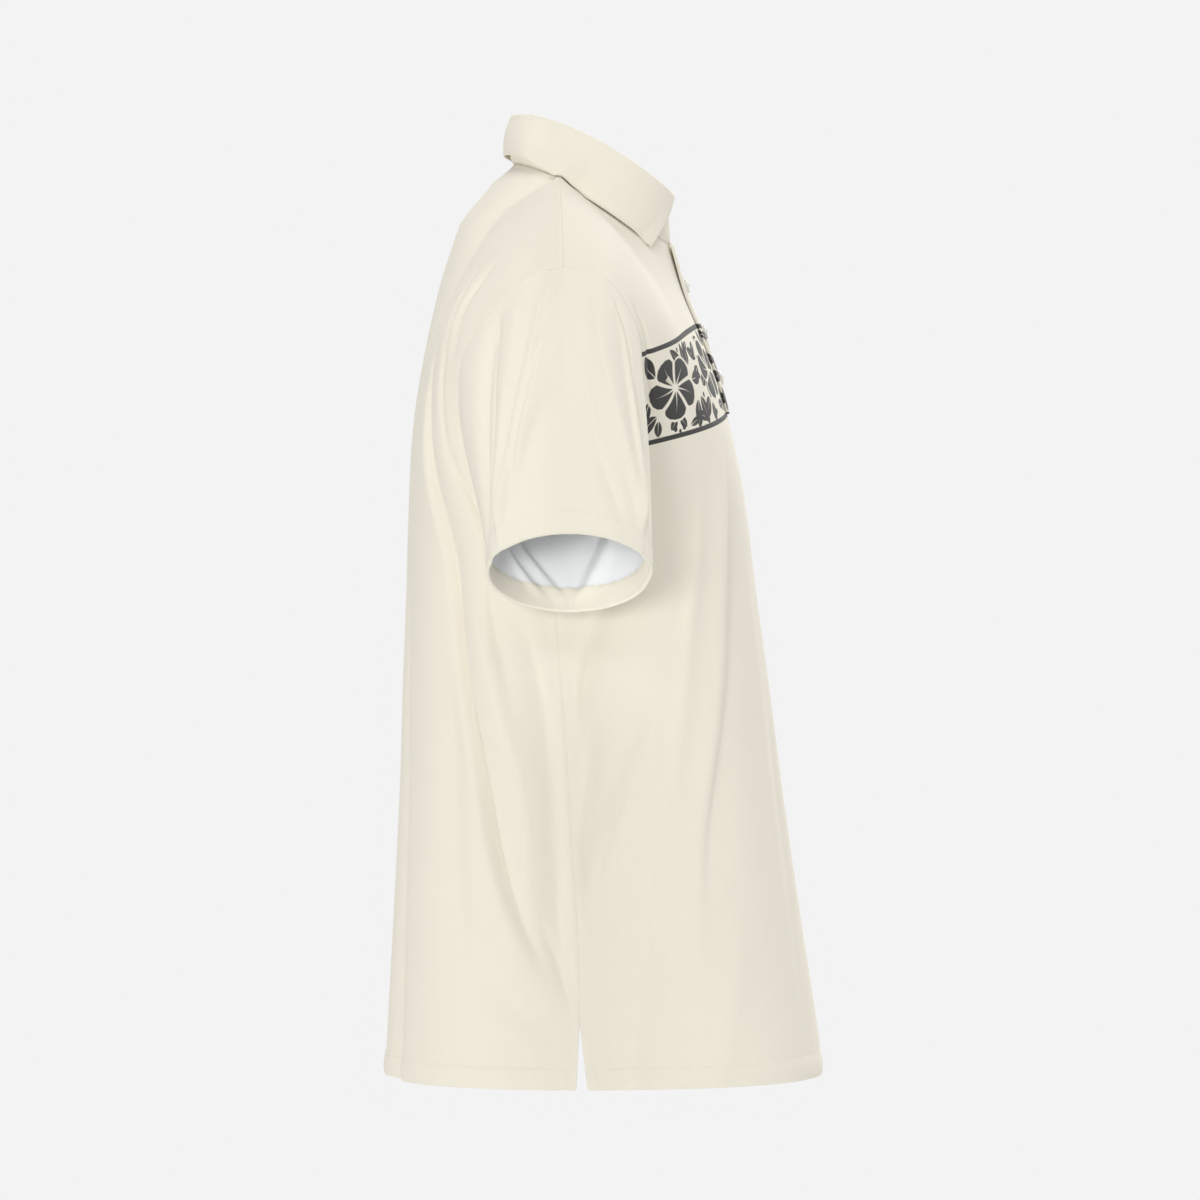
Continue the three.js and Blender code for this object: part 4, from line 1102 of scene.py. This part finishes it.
# %% [markdown]
# ## Buttonholes and buttons
#
# Each buttonhole is an upright slit bound with close, narrow stitches. The buttons are turned
# discs 11.6 mm across with a raised rim and four holes, sewn on through the slit with thread that
# crosses between the holes. A button is shaped from a cylinder by insets, its rim is bevelled, and
# the holes are cut with a boolean.

# %% Buttonholes
HOLE_HALF_LENGTH = 8
HOLE_STITCHES = 27
HOLE_PITCH = 0.6
HOLE_STITCH = 0.42
# How far the binding starts, ends and may reach from the middle of the slit
BINDING = (0.35, 0.9, 1.3)

middle_column = upper["grid"].shape[1] // 2
middle_outs = upper["normals"][:, middle_column]
line = upper["grid"][:, middle_column] + middle_outs * (PLACKET_CLOTH / 2)


def seat_of(z):
    """Point and normal on the middle of the upper strip, at a height."""
    at = np.interp(-z, -line[:, 2], np.arange(len(line)))
    low = int(at)
    return mix(line[low], line[low + 1], at - low), middle_outs[low]


gap, sewn_to, reach = BINDING
for z in BUTTON_Z:
    for side in (-1, 1):
        for k in range(HOLE_STITCHES):
            point, out = seat_of(z + HOLE_HALF_LENGTH - k * HOLE_PITCH)
            across = np.cross((0, 0, 1), out)
            start = point + across * side * gap
            ends = start + across * side * np.array([[0], [sewn_to], [reach]]) - out * 0.05
            rows.append(stitches_along(ends, np.array([out] * 3), HOLE_PITCH, HOLE_STITCH)[:1])
sewing.append(stitching("placket_stitching", rows))

# %% A button
# Inset and drop of each step from the rim to the bowl
BUTTON_STEPS = ((0.8, 0), (0.7, -0.5), (0.9, -0.25))
HOLE_OFF = 1.25
HOLE_RADIUS = 0.62


def pick_faces(mesh, way):
    """In edit mode, selects the faces that look up, or down when way is minus."""
    bpy.ops.mesh.select_all(action="SELECT")
    edited = bmesh.from_edit_mesh(mesh)
    for polygon in edited.faces:
        polygon.select = polygon.normal.z * way > 0.5
    bmesh.update_edit_mesh(mesh)


button = form_of(bpy.ops.mesh.primitive_cylinder_add, vertices=48, radius=BUTTON_RADIUS,
                 depth=BUTTON_THICKNESS, location=(0, 0, BUTTON_THICKNESS / 2))
bpy.ops.object.mode_set(mode="EDIT")
bpy.ops.mesh.select_mode(type="FACE")
pick_faces(button.data, 1)
for inset, drop in BUTTON_STEPS:
    bpy.ops.mesh.inset(thickness=inset)
    bpy.ops.transform.translate(value=(0, 0, drop))
pick_faces(button.data, -1)
bpy.ops.mesh.inset(thickness=1.1)
bpy.ops.transform.translate(value=(0, 0, -0.02))
bpy.ops.object.mode_set(mode="OBJECT")
rim = button.modifiers.new("rim", "BEVEL")
rim.width = 0.4
rim.segments = 3
rim.limit_method = "ANGLE"
rim.angle_limit = math.radians(50)
bpy.ops.object.modifier_apply(modifier="rim")
for x, y in ((1, 1), (-1, 1), (-1, -1), (1, -1)):
    drill = form_of(bpy.ops.mesh.primitive_cylinder_add, vertices=16, radius=HOLE_RADIUS, depth=12,
                    location=(x * HOLE_OFF, y * HOLE_OFF, 0))
    bpy.ops.object.select_all(action="DESELECT")
    button.select_set(True)
    bpy.context.view_layer.objects.active = button
    hole = button.modifiers.new("hole", "BOOLEAN")
    hole.operation = "DIFFERENCE"
    hole.solver = "EXACT"
    hole.object = drill
    bpy.ops.object.modifier_apply(modifier="hole")
    bpy.data.objects.remove(drill)
print("one button:", len(button.data.polygons), "faces, mm:", [round(v, 2) for v in button.dimensions])

# %% Thread through a button
# Half the space between a cross's two threads, and the heights of the lower and the upper cross
THREAD_OFF = 0.22
THREAD_HEIGHTS = ((math.pi / 4, 2.3), (-math.pi / 4, 2.1))

bars = []
for turn, height in THREAD_HEIGHTS:
    for off in (-THREAD_OFF, THREAD_OFF):
        bars.append(form_of(bpy.ops.mesh.primitive_cylinder_add, vertices=8, radius=0.24, depth=4.2))
        bpy.ops.object.mode_set(mode="EDIT")
        bpy.ops.mesh.select_all(action="SELECT")
        bpy.ops.transform.rotate(value=math.pi / 2, orient_axis="Y", center_override=(0, 0, 0))
        bpy.ops.transform.translate(value=(0, off, height))
        bpy.ops.transform.rotate(value=turn, orient_axis="Z", center_override=(0, 0, 0))
        bpy.ops.object.mode_set(mode="OBJECT")
bars.append(form_of(bpy.ops.mesh.primitive_cylinder_add, vertices=12, radius=1.3, depth=1.3,
                    location=(0, 0, -0.35)))
for bar in bars:
    bar.select_set(True)
bpy.ops.object.join()
thread = bpy.context.object
bpy.ops.object.transform_apply(location=True, rotation=True, scale=True)

# %% Buttons on the placket
buttons, threads = [], []
for number, z in enumerate(BUTTON_Z, 1):
    point, out = seat_of(z)
    turned_to = Vector(out.tolist()).to_track_quat("Z", "Y").to_matrix().to_4x4()
    place = Matrix.Translation(Vector((point + out * BUTTON_SEAT).tolist())) @ turned_to
    for source, made, name in ((button, buttons, "button_disc"), (thread, threads, "button_thread")):
        copy = placed(f"{name}_{number}", source.data.copy())
        copy.data.transform(Matrix.Scale(0.001, 4) @ place)
        made.append(copy)
for source in (button, thread):
    bpy.data.objects.remove(source)

# %% [markdown]
# ## Knit cloth
#
# The shirt is a cream knit with faint upright ribs and a small diamond texture, white on its inner
# side. One node group makes the knit from the cut co-ordinates, so its ribs follow each piece's
# grain. It gives a height for the bump, and a value that each material turns into its own colours:
# random tone in the yarn, with painted shade that darkens the valleys of the knit.
# Sums are written with ordinary signs here, and each sign adds a Math node.

# %% Node helpers
def math_of(add, operation, *values):
    node = add("Math", dict(enumerate(values)), operation=operation)
    return Field(add, node.outputs[0])


class Field:
    """A number that nodes work out at every place."""

    def __init__(self, add, socket):
        self.add = add
        self.socket = socket

    def to(self, operation, *others):
        return math_of(self.add, operation, self, *others)

    def __add__(self, other):
        return self.to("ADD", other)

    def __sub__(self, other):
        return self.to("SUBTRACT", other)

    def __rsub__(self, other):
        return math_of(self.add, "SUBTRACT", other, self)

    def __mul__(self, other):
        return self.to("MULTIPLY", other)

    def __truediv__(self, other):
        return self.to("DIVIDE", other)

    def clamped(self):
        """The same, kept between 0 and 1 by its last node."""
        self.socket.node.use_clamp = True
        return self


def vector_of(add, operation, *values, output="Vector"):
    node = add("VectorMath", dict(enumerate(values)), operation=operation)
    return node.outputs[output]


def turned_by(add, vector, angle):
    """A vector turned about Z."""
    return add("VectorRotate", {"Vector": vector, "Angle": angle}, rotation_type="Z_AXIS").outputs[0]


def parts_of(add, vector):
    """The x and y of a vector."""
    split = add("SeparateXYZ", {0: vector})
    return [Field(add, split.outputs[k]) for k in (0, 1)]


def noise_of(add, place, scale, detail, distortion=0.0):
    noise = add("TexNoise", {"Vector": place, "Scale": scale, "Detail": detail,
                             "Distortion": distortion})
    return Field(add, noise.outputs["Fac"])


def new_group(name, vectors, floats, outputs):
    """A node group: itself, its adder, its inputs in turn, and what puts a field out of it."""
    group = bpy.data.node_groups.new(name, "ShaderNodeTree")
    for names, kind, way in ((vectors, "Vector", "INPUT"), (floats, "Float", "INPUT"),
                             (outputs, "Float", "OUTPUT")):
        for socket in names:
            group.interface.new_socket(socket, in_out=way, socket_type="NodeSocket" + kind)
    add = adder(group)
    given = group.nodes.new("NodeGroupInput").outputs
    ends = group.nodes.new("NodeGroupOutput").inputs

    def put_out(output, field):
        group.links.new(field.socket, ends[output])

    inputs = [given[socket] for socket in vectors]
    return group, add, inputs + [Field(add, given[socket]) for socket in floats], put_out


# %% The knit group
knit, add, (cut, rib_width), put_out = new_group(
    "knit", ("Cut",), ("Rib Width",), ("Height", "Shade"))
x, y = parts_of(add, cut)
turn = math_of(add, "DIVIDE", 2 * math.pi, rib_width)
rib = (x * turn).to("SINE")
course = (y * (turn * 1.3)).to("SINE")
knit_height = rib * 0.3 + rib * course * 0.2
fuzz = noise_of(add, cut, 1400.0, 2.0)
cloud = noise_of(add, cut, 9.0, 3.0)
streak_at = add("CombineXYZ", {0: x * 260.0, 1: y * 9.0}).outputs[0]
streak = noise_of(add, streak_at, 1.0, 2.0)
put_out("Height", knit_height + fuzz * 0.35 + streak * 0.2)
# The colour's value: the knit's own height darkens its valleys as painted shade, and the cloud and the
# streaks are random tone in the yarn
tone_and_painted_shade = knit_height * 0.35 + (cloud - 0.5) * 0.25 + (streak - 0.5) * 0.25
put_out("Shade", (tone_and_painted_shade + 0.5).clamped())


# %% Materials
RIB_WIDTH = 0.0019
KNIT_RELIEF = 0.00025
CREAM = ((0.80, 0.755, 0.645), (0.86, 0.815, 0.705))


def new_material(name, high):
    material = bpy.data.materials.new(name)
    material.use_nodes = True
    material.node_tree.nodes.clear()
    material.diffuse_color = (*high, 1)
    return material, adder(material.node_tree)


def between(add, share, low, high):
    """A colour between two."""
    return add("Mix", {"Factor": share, 6: low, 7: high}, data_type="RGBA").outputs[2]


def surfaced(add, colour, strength, distance, height, **looks):
    """A surface with a relief, put out as the material's."""
    relief = add("Bump", {"Strength": strength, "Distance": distance, "Height": height})
    surface = add("BsdfPrincipled", {"Base Color": colour, "Normal": relief.outputs[0], **looks})
    add("OutputMaterial", {"Surface": surface.outputs[0]})


def cloth_material(name, low, high, print_over=None):
    """A knit material between two colours, with a print where there is one."""
    material, add = new_material(name, high)
    cut = add("UVMap", uv_map="cut").outputs[0]
    knitted = add("Group", node_tree=knit)
    material.node_tree.links.new(cut, knitted.inputs["Cut"])
    knitted.inputs["Rib Width"].default_value = RIB_WIDTH
    # The knit's random tone and painted shade pick the colour between low and high
    colour = between(add, knitted.outputs["Shade"], (*low, 1), (*high, 1))
    if print_over:
        colour = print_over(add, cut, colour)
    surfaced(add, colour, 0.35, KNIT_RELIEF, knitted.outputs["Height"],
             **{"Roughness": 0.88, "Specular IOR Level": 0.25, "Sheen Weight": 0.12,
                "Sheen Roughness": 0.5})
    return material


cream_knit = cloth_material("cream_knit", *CREAM)
white_inside = cloth_material("white_inside", (0.84, 0.855, 0.87), (0.9, 0.915, 0.93))

# %% [markdown]
# ## Flower band
#
# A band is printed across the chest of the front only: hibiscus flowers, leaves, buds and berries
# in one charcoal ink between two bars. It is drawn here from two shapes, a flower of five petals
# and a leaf, placed in millimetres on the cut, so the print bends with the cloth as the real one
# does. Its two halves are mirror images about the middle of the front.

# %% Leaf group
leaf, add, (place, base, turn, length, width, bend), put_out = new_group(
    "printed_leaf", ("Place", "Base"), ("Turn", "Length", "Width", "Bend"), ("Ink",))
x, y = parts_of(add, turned_by(add, vector_of(add, "SUBTRACT", place, base), turn * -1.0))
along = x / length
off = (y - along * along * bend).to("ABSOLUTE")
swell = (along * 4.0 * (1.0 - along)).to("MAXIMUM", 0.0).to("POWER", 0.85)
leaf_ink = ((swell * width - off) * 2.0).clamped()
rib_free = ((off - (0.8 - along) * 0.5) * 2.2 + 0.5).clamped()
put_out("Ink", leaf_ink * rib_free)

# %% Flower group
PETALS = 5
PETAL_TURN = 2 * math.pi / PETALS
# Flowers are seen a little from the side, and their stalk leans this way
SQUEEZE = (0.73, 1, 0)
STALK_WAY = (0.42, -0.3, 0)
STALK_REACH = 0.516

flower, add, (place, middle, turn, size), put_out = new_group(
    "printed_flower", ("Place", "Middle"), ("Turn", "Size"), ("Ink", "Area"))
away = vector_of(add, "SUBTRACT", place, middle)
turned = turned_by(add, vector_of(add, "MULTIPLY", away, SQUEEZE), turn)
x, y = parts_of(add, turned)
far = Field(add, vector_of(add, "LENGTH", turned, output="Value")) / size
bearing = y.to("ARCTAN2", x)
petal = ((bearing + far * 0.22) * (1 / PETAL_TURN) + 5.0).to("FRACT") - 0.5
to_middle = petal.to("ABSOLUTE")
rim = 1.0 - (to_middle * 2.0).to("POWER", 3.0) * 0.3 + (bearing * 31.0).to("SINE") * 0.004
inside = ((rim - far) * 40.0).clamped()
petal_width = far * PETAL_TURN
to_gap = (0.5 - to_middle) * petal_width
gap_free = ((to_gap - (far * 0.03 + 0.022)) * 30.0).clamped()
vein_free = ((to_middle * petal_width - (0.66 - far) * 0.05) * 45.0 + 0.5).clamped()
eye_free = ((far - 0.1) * 30.0).clamped()
stalk = Field(add, vector_of(add, "DOT_PRODUCT", turned, STALK_WAY, output="Value"))
stalk_far = stalk / STALK_REACH / size
stalk_off = (far * far - stalk_far * stalk_far).to("MAXIMUM", 0.0).to("SQRT")
on_stalk = ((stalk_far * 0.16 + 0.03 - stalk_off) * 45.0).clamped()
on_stalk = on_stalk * ((0.5 - stalk_far) * 40.0).clamped() * (stalk_far * 60.0).clamped()
pollen = (stalk_far * 95.0).to("SINE") * (stalk_off * 120.0).to("SINE")
on_stalk = on_stalk * (1.0 - (pollen * 2.0).clamped())
put_out("Ink", inside * gap_free * (vein_free * eye_free) * (1.0 - on_stalk))
put_out("Area", ((rim + 0.08 - far) * 30.0).clamped())

# %% Motifs on the cut, in millimetres
# Flowers: distance from the middle, depth, turn and size.
PRINT_FLOWERS = ((178, 162, 14, 27), (70, 160, 40, 26))
# Leaves: base, turn from sideways towards down in degrees, length, half width and bend.
PRINT_LEAVES = (
    (207, 149, -44, 27, 7.4, -3), (214, 168, 60, 20, 5, 3), (206, 182, 26, 26, 6.4, 3),
    (204, 186, 80, 14, 4.6, 1), (231, 152, 62, 22, 5, -3), (233, 196, -78, 24, 5, 2),
    (143, 148, -108, 21, 6.4, 2), (148, 149, -76, 22, 5.4, -2), (153, 146, -26, 31, 5.4, -3),
    (138, 178, 62, 25, 7, 3), (131, 176, 112, 26, 8, -2), (142, 160, 176, 24, 6, 2),
    (116, 168, -158, 18, 5.4, -2), (176, 187, 126, 13, 4.4, 1), (181, 187, 54, 13, 4.4, -1),
    (107, 145, -16, 26, 5.6, -2), (112, 153, 12, 22, 4.6, 2), (104, 180, 30, 26, 6, 2),
    (98, 185, 80, 17, 7, -1), (72, 190, 174, 26, 4.6, 3), (42, 140, -160, 28, 5.6, 2),
    (46, 139, -80, 13, 6, 1), (38, 151, 178, 28, 5.6, -3), (35, 166, 168, 30, 5.6, 3),
    (37, 179, 150, 30, 5.6, 3), (42, 185, 100, 16, 7, 2), (4, 172, -82, 23, 6, 4),
    (6, 198, -70, 22, 6, 2), (3, 149, -84, 21, 6, 3), (16, 200, -122, 18, 5, 1),
    (98, 133, 24, 24, 4.4, 2), (124, 197, -24, 26, 4.6, 2), (84, 132, 170, 26, 4.6, -2),
    (162, 197, -164, 20, 3.6, -1), (20, 131, 160, 18, 4.4, 2), (24, 199, -44, 26, 5.4, -2),
    (124, 130, 14, 24, 3.6, 2), (94, 160, -70, 18, 5.6, 2), (96, 166, 74, 16, 5, 2),
)
# Berries and buds: place and radius.
PRINT_BERRIES = ((172, 196.5, 2.7), (184, 196.5, 2.7), (178, 199, 2), (131, 157, 3.2),
                 (121, 176, 2.6), (117, 160, 3.4), (114, 190, 2.8), (91, 194, 2.6), (13, 160, 2.8),
                 (11, 182, 2.6), (26, 190, 2.6), (23, 136, 2.6), (55, 195, 2.6), (162, 132, 2.2))
BAR_DEPTHS = (124.7, 202.5)
BAR_HALF = 2.3

INK = (0.034, 0.034, 0.036, 1)


# %% Printed knit
def copies(add, group, place, rows):
    """One node of a group for each row of values of its further inputs."""
    made = []
    for row in rows:
        node = add("Group", node_tree=group)
        node.id_data.links.new(place, node.inputs["Place"])
        for socket, value in zip(node.inputs[1:], row):
            socket.default_value = value
        made.append(node)
    return made


def flower_band(add, cut, colour):
    """The print's ink over the knit's colour."""
    millimetres = add("VectorMath", {0: cut, "Scale": 1000.0}, operation="SCALE").outputs[0]
    place = vector_of(add, "ABSOLUTE", millimetres)
    flowers = copies(add, flower, place, [((x, depth, 0), math.radians(turn), size)
                                          for x, depth, turn, size in PRINT_FLOWERS])
    first, *leaves = copies(add, leaf, place, [((x, depth, 0), math.radians(turn), *sizes)
                                               for x, depth, turn, *sizes in PRINT_LEAVES])
    ink = Field(add, first.outputs["Ink"])
    for node in leaves:
        ink = ink.to("MAXIMUM", node.outputs["Ink"])
    for x, depth, radius in PRINT_BERRIES:
        away = Field(add, vector_of(add, "DISTANCE", place, (x, depth, 0), output="Value"))
        ink = ink.to("MAXIMUM", ((radius - away) * 2.0).clamped())
    for node in flowers:
        clear = 1.0 - Field(add, node.outputs["Area"])
        ink = (ink * clear).to("MAXIMUM", node.outputs["Ink"])
    down = parts_of(add, place)[1]
    for depth in BAR_DEPTHS:
        ink = ink.to("MAXIMUM", ((BAR_HALF - (down - depth).to("ABSOLUTE")) * 2.5).clamped())
    speckle = noise_of(add, cut, 1900.0, 1.0)
    worn = 1.0 - ((speckle - 0.35) * 0.16).clamped()
    return between(add, ink * worn, colour, INK)


printed_knit = cloth_material("printed_knit", *CREAM, flower_band)
print("print:", len(PRINT_FLOWERS), "flowers,", len(PRINT_LEAVES), "leaves and",
      len(PRINT_BERRIES), "berries, twice")

# %% [markdown]
# ## Buttons, thread and floor
#
# The buttons are pale moulded resin with a faint pearly cloud, glossier than the cloth. The sewing
# thread is the cloth's cream, a little smoother. The floor is a matt off-white studio sheet, below
# what the camera sees.

# %% Resin, thread and floor
def plain_material(name, low, high, roughness, scale, distance, coat=0.0):
    material, add = new_material(name, high)
    cloud = noise_of(add, add("TexCoord").outputs["Object"], scale, 3.0, 0.8)
    surfaced(add, between(add, cloud, (*low, 1), (*high, 1)), 0.3, distance, cloud,
             **{"Roughness": roughness, "Coat Weight": coat})
    return material


resin = plain_material("button_resin", (0.74, 0.71, 0.64), (0.86, 0.84, 0.78), 0.32, 240.0,
                       0.00004, 0.3)
sewing_thread = plain_material("sewing_thread", (0.74, 0.7, 0.6), (0.84, 0.8, 0.7), 0.7, 2600.0,
                               0.00006)
floor_sheet = plain_material("floor_sheet", (0.78, 0.78, 0.78), (0.8, 0.8, 0.8), 0.9, 3.0, 0.0004)

# %% Pieces get their materials
cloths = {**bodies, **sleeves, **collar, **placket}
for name, made in cloths.items():
    printed = name in ("front", "placket_upper")
    made["piece"].data.materials.append(printed_knit if printed else cream_knit)
    made["piece"].data.materials.append(white_inside)
for disc in buttons:
    disc.data.materials.append(resin)
for sewn in [*sewing, *threads]:
    sewn.data.materials.append(sewing_thread)

# %% [markdown]
# ## Riding and replacing
#
# Every piece belongs to the one body. Each piece of cloth stands for its CAD node, which is hidden.
# Its area is printed beside its cut's: the size it was cut to, in metres, or the cut's area where it
# isn't a rectangle.

# %% Bodies and hidden CAD nodes
PIECES = {
    "front": ((0.635, 0.80), 0.425, "hung"),
    "back": ((0.635, 0.81), 0.42, "hung"),
    "sleeve_right": ((0.46, 0.27), 0.084, "hung"),
    "sleeve_left": ((0.46, 0.27), 0.084, "hung"),
    "collar_fall": ((0.43, 0.066), 0.0225, "folded"),
    "collar_stand": ((0.42, 0.05), 0.018, "folded"),
    "placket_under": ((0.032, 0.145), None, "folded"),
    "placket_upper": ((0.035, 0.155), None, "folded"),
}
for node, (flat, area, held) in PIECES.items():
    piece = cloths[node]["piece"]
    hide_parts(node)
    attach(piece, "root")
    print(node, "area", round(cloths[node]["area"], 4), "of", round(area or flat[0] * flat[1], 4))
for number, disc in enumerate(buttons, 1):
    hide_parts(f"button_{number}")
    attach(disc, "root")
for piece in [*sewing, *threads]:
    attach(piece, "root")

# %% Floor and finish
bpy.ops.mesh.primitive_circle_add(vertices=96, radius=3.2, fill_type="NGON", location=(0, 0, -1.25))
floor = bpy.context.object
floor.name = "studio_floor"
floor.data.materials.append(floor_sheet)
